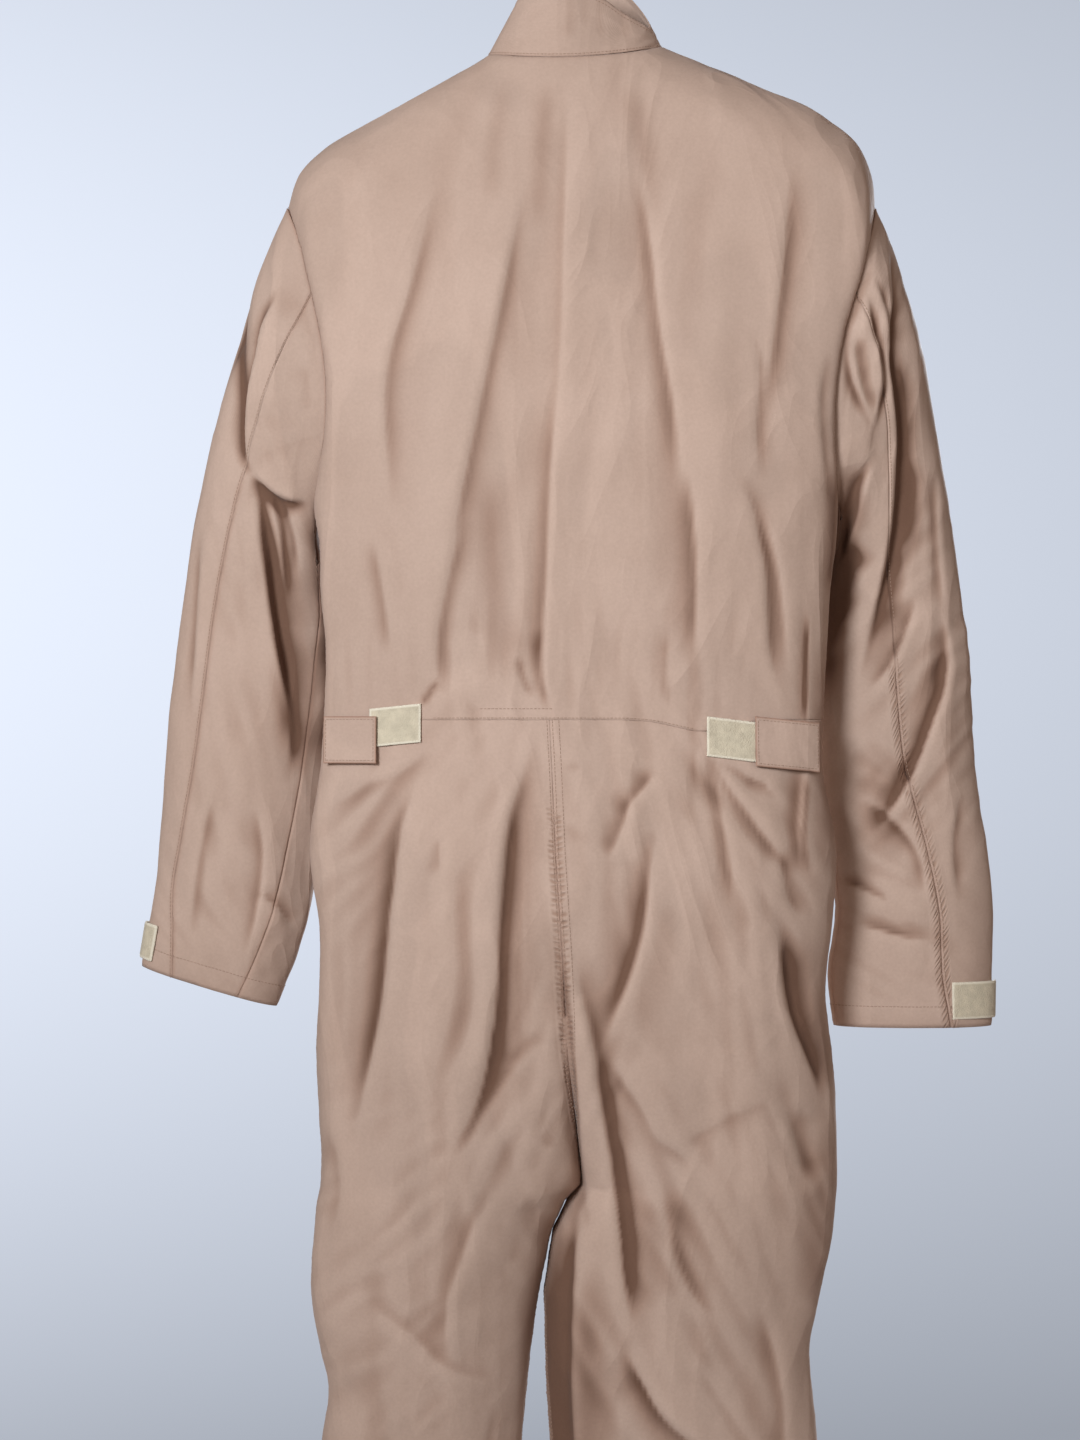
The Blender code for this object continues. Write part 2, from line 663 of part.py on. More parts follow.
def fold_height(grid, folds):
    """The folds' height over a grid: up on one side of each path, down on the other."""
    height = np.zeros(grid.shape[:2])
    for path, rise, rise_width, dip, dip_width in folds:
        d, along = path_distance(grid[..., 0], -grid[..., 2], path)
        ends = np.clip(4 * along, 0, 1) * np.clip(4 * (1 - along), 0, 1)
        side = 0.5 * (1 + np.tanh(d / 8.0))
        height += ends * (side * rise * np.exp(-np.abs(d) / rise_width)
                          - (1 - side) * dip * np.exp(-np.abs(d) / dip_width))
    return height


def calm_edges(height, first=True, last=True, across=2):
    """Lets the folds die out at a panel's first and last columns."""
    n = height.shape[1]
    i = np.arange(n)
    fade = np.ones(n)
    if first:
        fade = fade * np.clip(i / across, 0, 1)
    if last:
        fade = fade * np.clip((n - 1 - i) / across, 0, 1)
    return height * fade


# ---------------------------------------------------------------- walls
def grid_normals(grid, outward):
    """Unit normals of a grid, turned outward by the panel's own sign."""
    du = np.gradient(grid, axis=1)
    dv = np.gradient(grid, axis=0)
    n = np.cross(du, dv) * outward
    return n / np.maximum(length(n), 1e-9)


def border(shape):
    """Row and column numbers round a grid's border, in order."""
    rows, cols = shape[:2]
    ring = [(0, c) for c in range(cols)] + [(r, cols - 1) for r in range(1, rows)]
    ring += [(rows - 1, c) for c in range(cols - 2, -1, -1)]
    return ring + [(r, 0) for r in range(rows - 2, 0, -1)]


def cloth_group(name):
    """Panels that carry on smoothly into each other."""
    if name.startswith("sleeve"):
        return "sleeve"
    if name.startswith("trouser"):
        return name.split("_")[-1]
    return "body"


def share_normals(grids, normals):
    """Averages the normals of the panels that meet at a border point.

    Where one group folds back against another, as at the underarm and between the
    legs, each keeps its own group's normal. Returns how far each point then moves off
    the groups that face it.
    """
    meeting = {}
    apart = {name: np.zeros(grid.shape) for name, grid in grids.items()}
    for name, grid in grids.items():
        for r, c in border(grid.shape):
            key = tuple(np.round(grid[r, c] / 0.1).astype(int))
            meeting.setdefault(key, []).append((name, r, c))
    for places in meeting.values():
        total = mean_normal(normals, places)
        own = {}
        folded = False
        for group in {cloth_group(p[0]) for p in places}:
            inside = [p for p in places if cloth_group(p[0]) == group]
            others = [p for p in places if cloth_group(p[0]) != group]
            own[group] = mean_normal(normals, inside)
            if others and own[group] @ total < 0.75:
                folded = folded or into_panel(grids, inside) @ mean_normal(normals, others) > 0
        for name, r, c in places:
            normals[name][r, c] = own[cloth_group(name)] if folded else total
            if folded:
                facing = [own[group] for group in own if group != cloth_group(name)]
                apart[name][r, c] = sum(facing) * FOLD_CLEARANCE
    return apart


def into_panel(grids, places):
    """Mean direction from a border point into the panels that hold it."""
    total = np.zeros(3)
    for name, r, c in places:
        grid = grids[name]
        step = grid[r + steps_in(r, len(grid)), c + steps_in(c, grid.shape[1])] - grid[r, c]
        total += step / max(np.linalg.norm(step), 1e-9)
    return total / max(np.linalg.norm(total), 1e-9)


def mean_normal(normals, places):
    """The normalised mean of the normals at some grid points."""
    total = sum(normals[name][r, c] for name, r, c in places)
    return total / max(np.linalg.norm(total), 1e-9)


def steps_in(i, count):
    """The step from a first or last row or column to the next one inside."""
    return 1 if i == 0 else -1 if i == count - 1 else 0


def pulled_in(grid, normals):
    """Moves each border point into the panel, half the seam gap off both edges it is on."""
    out = grid.copy()
    rows, cols = grid.shape[:2]
    ring = border(grid.shape)
    for i, (r, c) in enumerate(ring):
        here = grid[r, c]
        n = normals[r, c]
        inside = grid[r + steps_in(r, rows), c + steps_in(c, cols)] - here
        into = []
        for other in (ring[i - 1], ring[(i + 1) % len(ring)]):
            edge = grid[other] - here
            across = np.cross(edge, n)
            if np.linalg.norm(across) < 1e-6:
                continue
            across = across / np.linalg.norm(across)
            into.append(across * np.sign(across @ inside))
        if len(into) == 2:
            move = (into[0] + into[1]) / max(1 + into[0] @ into[1], 0.35)
        else:
            move = into[0]
        out[r, c] = here + move * SEAM_GAP / 2
    return out


def wall_mesh(name, outer, inner, outward):
    """A closed wall between two grids of the same shape, joined round the border."""
    rows, cols = outer.shape[:2]
    verts = np.concatenate([outer.reshape(-1, 3), inner.reshape(-1, 3)]) * MM
    number = np.arange(rows * cols).reshape(rows, cols)
    deep = rows * cols
    faces = []
    for r in range(rows - 1):
        for c in range(cols - 1):
            a, b, d, e = number[r, c], number[r, c + 1], number[r + 1, c + 1], number[r + 1, c]
            faces += [(a, b, d), (a, d, e)]
            faces += [(a + deep, d + deep, b + deep), (a + deep, e + deep, d + deep)]
    ring = [number[place] for place in border(outer.shape)]
    for a, b in zip(ring, ring[1:] + ring[:1]):
        faces += [(a, a + deep, b + deep), (a, b + deep, b)]
    if outward < 0:
        faces = [f[::-1] for f in faces]
    mesh = bpy.data.meshes.new(name)
    mesh.from_pydata([tuple(v) for v in verts], [], [tuple(int(i) for i in f) for f in faces])
    mesh.update()
    return mesh


def patch_on(tree, points, first_lift, last_lift, thick):
    """Lower and upper grids of a piece laid on the panels, lifted off their facets."""
    rows, cols = points.shape[:2]
    lower = np.zeros_like(points)
    upper = np.zeros_like(points)
    for c in range(cols):
        lift = first_lift + (last_lift - first_lift) * c / (cols - 1)
        for r in range(rows):
            spot, normal, _, _ = tree.find_nearest(Vector(points[r, c]))
            base = np.array(spot)
            n = np.array(normal)
            lower[r, c] = base + n * lift
            upper[r, c] = base + n * (lift + thick)
    return lower, upper


# ---------------------------------------------------------------- Blender objects
def clear_scene():
    for obj in list(bpy.data.objects):
        bpy.data.objects.remove(obj, do_unlink=True)


def material(name, colour, roughness, metallic=0.0):
    mat = bpy.data.materials.new(name)
    mat.use_nodes = True
    shader = mat.node_tree.nodes["Principled BSDF"]
    shader.inputs["Base Color"].default_value = colour
    shader.inputs["Roughness"].default_value = roughness
    shader.inputs["Metallic"].default_value = metallic
    mat.diffuse_color = colour
    return mat


def add_object(name, data, collection, mat):
    obj = bpy.data.objects.new(name, data)
    collection.objects.link(obj)
    if data.materials:
        data.materials[0] = mat
    else:
        data.materials.append(mat)
    return obj


def mesh_from_bmesh(name, bm):
    bmesh.ops.recalc_face_normals(bm, faces=bm.faces)
    mesh = bpy.data.meshes.new(name)
    bm.to_mesh(mesh)
    bm.free()
    return mesh


def box(bm, size, centre):
    """Adds a box of that size around a centre, both in mm."""
    made = bmesh.ops.create_cube(bm, size=1.0)["verts"]
    for v in made:
        v.co = Vector([c * MM + v.co[i] * s * MM for i, (c, s) in enumerate(zip(centre, size))])


def joined(name, shapes, collection, mat):
    """Boolean union of small shapes into one object."""
    first = add_object(name, shapes[0], collection, mat)
    cutters = cutter_collection()
    for i, shape in enumerate(shapes[1:]):
        other = bpy.data.objects.new(f"{name}_join_{i}", shape)
        cutters.objects.link(other)
        other.hide_render = True
        other.display_type = "WIRE"
        join = first.modifiers.new(f"join_{i}", "BOOLEAN")
        join.operation = "UNION"
        join.object = other
    return first


def cutter_collection():
    found = bpy.data.collections.get("joining shapes")
    if found is None:
        found = bpy.data.collections.new("joining shapes")
        bpy.context.scene.collection.children.link(found)
    return found


def box_mesh(name, size, centre):
    bm = bmesh.new()
    box(bm, size, centre)
    return mesh_from_bmesh(name, bm)


# ---------------------------------------------------------------- cloth
def cloth_grids():
    """Every cloth panel as its grid and the folds that run over it."""
    left_under, left_upper = sleeve_panels("left")
    right_under, right_upper = sleeve_panels("right")
    return {
        "back_bodice": (back_bodice(), BACK_FOLDS),
        "front_bodice_left": (front_bodice("left"), FRONT_FOLDS),
        "front_bodice_right": (front_bodice("right"), FRONT_FOLDS),
        "trouser_back_left": (trouser_panel("left", "back"), BACK_FOLDS),
        "trouser_back_right": (trouser_panel("right", "back"), BACK_FOLDS),
        "trouser_front_left": (trouser_panel("left", "front"), FRONT_FOLDS),
        "trouser_front_right": (trouser_panel("right", "front"), FRONT_FOLDS),
        "sleeve_left_under": (left_under, SLEEVE_FOLDS["left"]),
        "sleeve_left_upper": (left_upper, ()),
        "sleeve_right_under": (right_under, SLEEVE_FOLDS["right"]),
        "sleeve_right_upper": (right_upper, ()),
        "collar": (collar_grid(), ()),
        "zip_tape_left": (zip_tape("left"), ()),
        "zip_tape_right": (zip_tape("right"), ()),
    }


def folded_grids(cloth):
    """The folded panels, their outward normals shared at the seams, and each border's step apart."""
    grids = {name: entry[0] for name, entry in cloth.items()}
    signs = {name: outward_sign(name, grid) for name, grid in grids.items()}
    normals = {name: grid_normals(grid, signs[name]) for name, grid in grids.items()}
    share_normals(grids, normals)
    for name, (grid, folds) in cloth.items():
        if folds:
            height = seam_calm(name, fold_height(grid, folds))
            grids[name] = grid + normals[name] * height[..., None]
    normals = {name: grid_normals(grid, signs[name]) for name, grid in grids.items()}
    apart = share_normals(grids, normals)
    return grids, normals, apart


def seam_calm(name, height):
    """Folds end before side seams, necklines and the zip, and run on over the waist seam."""
    fades = {
        "back_bodice": (True, True),
        "trouser_back_left": (True, False),
        "trouser_back_right": (True, False),
    }
    first, last = fades.get(name, (True, True))
    height = calm_edges(height, first, last)
    rows = height.shape[0]
    r = np.arange(rows)[:, None]
    if "bodice" in name:
        height = height * np.clip((rows - 1 - r) / 3, 0, 1)
    if "sleeve" in name:
        height = height * np.clip(r / 2, 0, 1) * np.clip((rows - 1 - r) / 2, 0, 1)
    if name.startswith("trouser_back"):
        crotch = int(np.searchsorted(lower_rows(), CROTCH_DROP))
        inner = calm_edges(height, False, True)
        height = np.where(r >= crotch - 1, inner, height)
    return height


def outward_sign(name, grid):
    """Sign that points a panel's cross-product normals away from the garment's inside."""
    n = grid_normals(grid, 1)
    mid = grid[grid.shape[0] // 2, grid.shape[1] // 2]
    normal = n[grid.shape[0] // 2, grid.shape[1] // 2]
    if name == "collar":
        away = mid - np.array([NECK_X, NECK_Y, mid[2]])
    elif name == "sleeve_left_upper" or name == "sleeve_right_upper":
        away = np.array([0.0, 1.0, 0.0])
    elif "back" in name or "under" in name:
        away = np.array([0.0, -1.0, 0.0])
    else:
        away = np.array([0.0, 1.0, 0.0])
    return 1 if normal @ away > 0 else -1


def panel_tree(grids):
    """A search tree over the outer facets of the back, the legs and the sleeves."""
    points = []
    faces = []
    for name in grids:
        grid = grids[name]
        rows, cols = grid.shape[:2]
        sign = outward_sign(name, grid)
        start = len(points)
        points += [Vector(p) for p in grid.reshape(-1, 3)]
        number = np.arange(rows * cols).reshape(rows, cols) + start
        for r in range(rows - 1):
            for c in range(cols - 1):
                a, b, d, e = (int(number[i]) for i in ((r, c), (r, c + 1), (r + 1, c + 1), (r + 1, c)))
                pair = [(a, b, d), (a, d, e)]
                faces += pair if sign > 0 else [f[::-1] for f in pair]
    return BVHTree.FromPolygons(points, faces)


def waist_patch(piece, cols, rows):
    """Points of a strap or tape on the smooth back, left to right and top to bottom."""
    across = np.linspace(piece["x"][0], piece["x"][1], cols + 1)
    down = np.linspace(piece["drop"][0], piece["drop"][1], rows + 1)
    x, drop = np.meshgrid(across, down)
    drop = drop + piece["slope"] * (x - piece["x"][0])
    table_drop = np.maximum(drop, WAIST_DROP)
    left = read(LOWER, LOWER_COLUMNS, "left", table_drop)
    right = read(LOWER, LOWER_COLUMNS, "right", table_drop)
    deep = -read(DEPTH, DEPTH_COLUMNS, "back", drop)
    y = torso_y(x, left, right, CROTCH_Y, deep)
    return np.stack([x, y, -drop], axis=-1)


def cuff_patch(side, cols, rows):
    """Points of a cuff tab on the smooth sleeve, round from the outside to the back."""
    tab = CUFF_TABS[side]
    table = SLEEVE_LEFT if side == "left" else SLEEVE_RIGHT
    angles = np.linspace(tab["angles"][0], tab["angles"][1], cols + 1)
    drops = table[-1][0] - np.linspace(tab["above_edge"][1], tab["above_edge"][0], rows + 1)
    return np.array([sleeve_ring(side, d, angles) for d in drops])


def add_laid_pieces(grids, collection, mats):
    """Waist tapes, the straps that close on them, and the cuff tabs."""
    back = {n: grids[n] for n in ("back_bodice", "trouser_back_left", "trouser_back_right")}
    tree = panel_tree(back)
    over = LAID_GAP + TAPE_WALL + LAID_GAP
    for side in ("left", "right"):
        points = waist_patch(WAIST_TAPES[side], *TAPE_CELLS)
        add_patch(f"waist_tape_{side}", points, tree, (LAID_GAP, LAID_GAP), TAPE_WALL,
                  collection, mats["tape"])
        points = waist_patch(WAIST_STRAPS[side], *STRAP_CELLS)
        lifts = (SIDE_LIFT, over) if side == "left" else (over, SIDE_LIFT)
        add_patch(f"waist_strap_{side}", points, tree, lifts, WALL, collection, mats["cloth"])
        arm = {n: grids[n] for n in (f"sleeve_{side}_under", f"sleeve_{side}_upper")}
        points = cuff_patch(side, *TAB_CELLS)
        add_patch(f"cuff_tab_{side}", points, panel_tree(arm), (CUFF_LIFT, CUFF_LIFT), TAPE_WALL,
                  collection, mats["tape"])


def add_patch(name, points, tree, lifts, thick, collection, mat):
    lower, upper = patch_on(tree, points, lifts[0], lifts[1], thick)
    across = upper[0, 1] - upper[0, 0]
    down = upper[1, 0] - upper[0, 0]
    sign = 1 if np.cross(across, down) @ (upper[0, 0] - lower[0, 0]) > 0 else -1
    add_object(name, wall_mesh(name, upper, lower, sign), collection, mat)


def add_cloth(collection, mats):
    cloth = cloth_grids()
    grids, normals, apart = folded_grids(cloth)
    for name, grid in grids.items():
        outer = pulled_in(grid, normals[name]) + apart[name]
        inner = outer - normals[name] * WALL
        mat = mats["zip"] if name.startswith("zip") else mats["cloth"]
        add_object(name, wall_mesh(name, outer, inner, outward_sign(name, cloth[name][0])), collection, mat)
    add_laid_pieces(grids, collection, mats)
    return grids


# ---------------------------------------------------------------- hanger
def hanger_bar(collection, mat):
    """A shaped bar under both shoulder seams: ovals carried along the seams' lines."""
    left = np.linspace(BAR_ENDS[0], 1.0, BAR_STATIONS)
    right = np.linspace(1.0, BAR_ENDS[1], BAR_STATIONS)
    path = [shoulder_point("left", t) for t in left] + [shoulder_point("right", t) for t in right]
    points = np.array([[x, y - 1, -drop] for x, y, drop in path])
    points = np.concatenate([points[:BAR_STATIONS], [BAR_MIDDLE], points[BAR_STATIONS:]])
    bm = bmesh.new()
    rings = []
    for i, centre in enumerate(points):
        before = points[max(i - 1, 0)]
        after = points[min(i + 1, len(points) - 1)]
        run = (after - before) / np.linalg.norm(after - before)
        up = np.array([-run[2], 0.0, run[0]])
        up = up if up[2] > 0 else -up
        size = BAR_TIP if i in (0, len(points) - 1) else 1.0
        deep = BAR_HALF_HEIGHT * size
        near_neck = 1 - ramp(70, 120, abs(centre[0] - NECK_X))
        core = centre - up * (WALL + BAR_CLEAR + deep) - np.array([0, 0, BAR_NECK_SINK * near_neck])
        wide = BAR_HALF_DEPTH * size * (1 - BAR_NECK_TAPER * near_neck)
        ring = []
        for a in np.linspace(0, 2 * math.pi, BAR_SIDES, endpoint=False):
            spot = core + up * deep * math.sin(a) + np.array([0, 1, 0]) * wide * math.cos(a)
            ring.append(bm.verts.new(Vector(spot) * MM))
        rings.append(ring)
    for one, two in zip(rings, rings[1:]):
        for j in range(len(one)):
            k = (j + 1) % len(one)
            bm.faces.new((one[j], one[k], two[k], two[j]))
    bm.faces.new(rings[0])
    bm.faces.new(rings[-1])
    return add_object("hanger_bar", mesh_from_bmesh("hanger_bar", bm), collection, mat)


def hanger_hook(collection, mat, bar_top):
    """The wire hook: a stem from the bar, then a crook whose crown has the origin under it."""
    radius = HOOK_INNER_RADIUS + WIRE_RADIUS
    centre = -HOOK_INNER_RADIUS
    stem = [(0.0, bar_top + SEAM_GAP), (0.0, -64.0), (1.5, -56.0), (7.0, -46.0), (14.5, -35.0)]
    turn = [(radius * math.cos(math.radians(a)), centre + radius * math.sin(math.radians(a)))
            for a in range(-20, 206, 15)]
    points = [(x * MM, 0.0, z * MM) for x, z in stem + turn]
    curve = bpy.data.curves.new("hanger_hook", "CURVE")
    curve.dimensions = "3D"
    curve.bevel_depth = WIRE_RADIUS * MM
    curve.bevel_resolution = 2
    curve.use_fill_caps = True
    spline = curve.splines.new("POLY")
    spline.points.add(len(points) - 1)
    for spot, place in zip(spline.points, points):
        spot.co = (*place, 1.0)
    return add_object("hanger_hook", curve, collection, mat)


# ---------------------------------------------------------------- zip slider and pull
def front_place(grids):
    """y of the zip's outer face at the slider."""
    edge = grids["zip_tape_right"][:, 0]
    order = np.argsort(-edge[:, 2])
    return float(np.interp(SLIDER_DROP, -edge[order, 2], edge[order, 1]))


def add_slider(collection, grids, mats):
    """The slider with its bridge, and the pull tab that swings from the bridge."""
    x = float(front_centre(SLIDER_DROP))
    face = front_place(grids) + SLIDER_STAND
    deep = SLIDER_SIZE[1]
    front = face + deep
    body = box_mesh("slider_body", SLIDER_SIZE, (x, face + deep / 2, -SLIDER_DROP))
    post_size = (BRIDGE_WIDTH, BRIDGE_REACH + 2 * POST_SINK, BRIDGE_WIRE)
    post_off = BRIDGE_HALF_LENGTH - BRIDGE_WIRE / 2
    posts = [box_mesh(f"post_{i}", post_size, (x, front + BRIDGE_REACH / 2 - POST_SINK, -SLIDER_DROP + z))
             for i, z in enumerate((-post_off, post_off))]
    crown = box_mesh("crown", (BRIDGE_WIDTH, BRIDGE_WIRE, 2 * BRIDGE_HALF_LENGTH),
                     (x, front + BRIDGE_REACH - BRIDGE_WIRE / 2, -SLIDER_DROP))
    joined("zip_slider", [body, *posts, crown], collection, mats["brass"])
    axis_y = front + (BRIDGE_REACH - BRIDGE_WIRE) / 2
    pivot = bpy.data.objects.new("zip_pull_axis", None)
    pivot.location = (x * MM, axis_y * MM, -SLIDER_DROP * MM)
    collection.objects.link(pivot)
    pull = pull_object(collection, mats["brass"])
    pull.parent = pivot
    print("zip pull axis (m):", [round(c, 5) for c in pivot.location])


def pull_object(collection, mat):
    """A flat tab hanging from its top bar, with a window for the bridge and a grip hole."""
    wide, thick, tall = PULL_SIZE
    top = PULL_BAR / 2
    window_middle = -top - PULL_WINDOW[1] / 2
    curve = bpy.data.curves.new("zip_pull", "CURVE")
    curve.dimensions = "2D"
    curve.fill_mode = "BOTH"
    curve.extrude = thick / 2 * MM
    add_outline(curve, rounded_box(wide, tall, 0.0, top - tall / 2, PULL_CORNER))
    add_outline(curve, rounded_box(*PULL_WINDOW, 0.0, window_middle, PULL_WINDOW_CORNER))
    add_outline(curve, rounded_box(PULL_HOLE, PULL_HOLE, 0.0, top - tall + PULL_HOLE_UP, PULL_HOLE / 2))
    obj = add_object("zip_pull", curve, collection, mat)
    obj.rotation_euler = (math.radians(90), 0, 0)
    return obj


def rounded_box(wide, tall, x, y, radius, corner_points=3):
    """Outline of a box with round corners, anticlockwise, in mm."""
    points = []
    for quarter, (sx, sy) in enumerate(((1, 1), (-1, 1), (-1, -1), (1, -1))):
        cx = x + sx * (wide / 2 - radius)
        cy = y + sy * (tall / 2 - radius)
        for i in range(corner_points):
            a = math.radians(90 * quarter + 90 * i / (corner_points - 1))
            points.append((cx + radius * math.cos(a), cy + radius * math.sin(a)))
    return [p for p, q in zip(points, points[1:] + points[:1]) if math.dist(p, q) > 0.01]


def add_outline(curve, points):
    spline = curve.splines.new("POLY")
    spline.points.add(len(points) - 1)
    spline.use_cyclic_u = True
    for spot, (x, y) in zip(spline.points, points):
        spot.co = (x * MM, y * MM, 0.0, 1.0)


def main():
    clear_scene()
    collection = bpy.data.collections.new("flight suit on a hanger")
    bpy.context.scene.collection.children.link(collection)
    mats = {
        "cloth": material("tan cloth", TAN, 0.82),
        "tape": material("hook and loop tape", TAPE_TAN, 0.95),
        "zip": material("zip tape", TAN, 0.85),
        "brass": material("zip metal", BRASS, 0.38, 1.0),
        "steel": material("hook steel", STEEL, 0.30, 1.0),
        "wood": material("hanger wood", WOOD, 0.45),
    }
    grids = add_cloth(collection, mats)
    bar = hanger_bar(collection, mats["wood"])
    bar_top = max(v.co.z for v in bar.data.vertices if abs(v.co.x) < 0.01) / MM
    hanger_hook(collection, mats["steel"], bar_top)
    add_slider(collection, grids, mats)


main()
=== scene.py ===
"""Looks of a tan flight suit hanging by its hanger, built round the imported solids.

Metres, +Z up. The tables are in millimetres: x runs to the wearer's right, "drop" is the
distance below the hook's crown. The back faces -Y and the zipped front +Y.
"""
import itertools
import math
from collections import namedtuple

import bmesh
import bpy
import numpy as np
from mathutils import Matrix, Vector


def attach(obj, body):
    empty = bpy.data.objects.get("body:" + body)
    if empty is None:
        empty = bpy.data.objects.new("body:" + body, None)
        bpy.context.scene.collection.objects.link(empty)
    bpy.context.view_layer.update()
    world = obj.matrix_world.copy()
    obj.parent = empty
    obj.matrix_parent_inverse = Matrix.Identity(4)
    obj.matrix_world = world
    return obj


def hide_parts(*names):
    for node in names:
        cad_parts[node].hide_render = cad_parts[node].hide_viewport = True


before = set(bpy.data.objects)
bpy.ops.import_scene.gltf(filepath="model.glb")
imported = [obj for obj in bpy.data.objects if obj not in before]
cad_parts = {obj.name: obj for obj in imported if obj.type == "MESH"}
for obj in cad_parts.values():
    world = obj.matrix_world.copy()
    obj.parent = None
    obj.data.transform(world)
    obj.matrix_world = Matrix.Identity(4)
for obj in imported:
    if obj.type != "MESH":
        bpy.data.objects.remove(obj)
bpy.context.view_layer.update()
MM = 0.001
TINY = 1e-9
SIGN = {"left": -1, "right": 1}
BORDERS = ("first_row", "last_row", "first_col", "last_col")

# ---- sizes, mm
CLOTH = 0.8                # thickness of the cloth
WAIST_DROP = 637.0
UNDERARM_DROP = 462.0
TIP_DROP = 213.0
TIP_Y = 2.0                # of the shoulder tip
CROTCH_DROP = 1017.0
HEM_DROP = 1730.0
CROTCH_Y = -20.0
SHOULDER_ROLL = 55.0       # drop over which the cloth turns under the shoulder seam
TORSO_POWER = 2.6
LEG_POWER = 2.2
SEAT_START = 800.0
ZIP_HALF = 8.0
ZIP_END_DROP = 925.0
ZIP_TIP_DROP = 950.0
NECK_X = 3.5
NECK_HALF = 72.5
NECK_Y = -4.0
NECK_BACK = 46.0
NECK_FRONT = 54.0
NECK_SIDE_DROP = (88.0, 82.0)
NECK_BACK_DIP = 15.0
NECK_FRONT_DIP = 74.0
NECK_LEFT_AT = 0.34
NECK_RIGHT_AT = 0.64
FRONT_NECK_AT = 2 * NECK_LEFT_AT
CENTRE_LINE = ((80, WAIST_DROP, CROTCH_DROP), (NECK_X, 2.0, 8.0))   # drop, x
SAG_DROP, SAG_X, SAG_WIDTH = 9.0, 105.0, 32.0     # of the waist seam
SAG_FADE = 120.0
LEAN_FROM = 0.45           # share of a bodice's height from which its rows lean
EASE_COLUMNS = 14          # width of the easing at the neck's corners
EASE_BELOW = 30.0
COLLAR_FULL = 58.0
HANG_OUT, HANG_DOWN = 0.14, 0.99     # direction in which a sleeve comes to its first ring
SAME_POINT = 0.05          # within which border points of two panels coincide
FOLDED_BACK = 0.8          # share under which summed normals tell of a fold
CALM_REACH = 22.0          # over which folds die out at a calm border
SLACK_DROPS = (640, 900)   # between which the wrinkles grow slack

# ---- rows and columns of the surfaces
ARM_STEPS = 80             # armhole, underarm to shoulder tip
SIDE_STEPS = 64            # side seam, waist to underarm
SHOULDER_STEPS = 54
NECK_LEFT_STEPS = 24
NECK_RIGHT_STEPS = 34
FRONT_NECK_STEPS = 22
HIP_STEPS = 205            # waist to a little below the crotch
LEG_STEPS = 80             # from there to the hem
HIP_END_DROP = 1215.0
CAP_STEPS = 96             # sleeve, armhole to the elbow
FOREARM_STEPS = 84
COLLAR_STEPS = 30
SEAM_AT = 0.4              # share of the back armhole at which the sleeve's back seam starts

# ---- tables of the form
EDGE = (
    ("drop", "left", "right", "back_y", "front_y", "front_in"),
    (213, -235, 252, -40, 32, 0),
    (245, -222, 243, -44, 32, 7),
    (286, -212, 232, -48, 32, 12),
    (318, -205, 222, -50, 30, 14),
    (351, -200, 216, -50, 26, 13),
    (375, -199, 214, -48, 20, 11),
    (408, -201, 214, -42, 10, 8),
    (433, -205, 216, -33, -2, 4),
    (462, -210, 219, -20, -20, 0),
    (490, -206, 218, -20, -20, 0),
    (530, -205, 213, -20, -20, 0),
    (575, -201, 210, -20, -20, 0),
    (637, -203, 206, -20, -20, 0),
)
DEPTH = (
    ("drop", "back", "front"),
    (80, 50, 50), (150, 58, 52), (213, 66, 54), (300, 72, 56), (400, 78, 56), (462, 78, 55),
    (550, 74, 50), (637, 70, 46), (674, 74, 47), (744, 82, 50), (805, 86, 52), (859, 86, 52),
    (908, 84, 52), (957, 80, 50), (1017, 76, 48), (1105, 70, 45), (1228, 62, 42),
    (1450, 54, 40), (1730, 50, 36),
)
SHOULDER = {
    "left": (
        ("along", "x", "y", "drop"),
        (0.00, -235, 2, 213), (0.09, -228, 3, 189), (0.24, -206, 3, 165),
        (0.47, -163, 2, 140), (0.73, -115, 0, 114), (1.00, -69, -4, 88),
    ),
    "right": (
        ("along", "x", "y", "drop"),
        (0.00, 252, 2, 213), (0.06, 249, 3, 189), (0.14, 239, 3, 164), (0.28, 210, 3, 138),
        (0.56, 155, 2, 114), (0.82, 104, 0, 92), (1.00, 76, -4, 82),
    ),
}
LOWER = (
    ("drop", "left", "left_in", "right_in", "right"),
    (637, -203, -18, -18, 206),
    (674, -206, -16, -16, 205),
    (744, -215, -13, -13, 216),
    (805, -207, -9, -9, 212),
    (859, -206, -6, -6, 207),
    (908, -208, -3, -3, 213),
    (957, -206, 3, 3, 217),
    (1006, -205, 8, 8, 219),
    (1017, -206, 8, 8, 219),
    (1030, -209, -5, -3, 218),
    (1056, -212, -17, -15, 216),
    (1105, -215, -27, -22, 207),
    (1154, -207, -34, -21, 198),
    (1180, -201, -37, -20, 200),
    (1228, -206, -41, -17, 204),
    (1330, -203, -42, -8, 198),
    (1450, -200, -42, 6, 190),
    (1600, -198, -44, 15, 182),
    (1730, -196, -46, 20, 176),
)
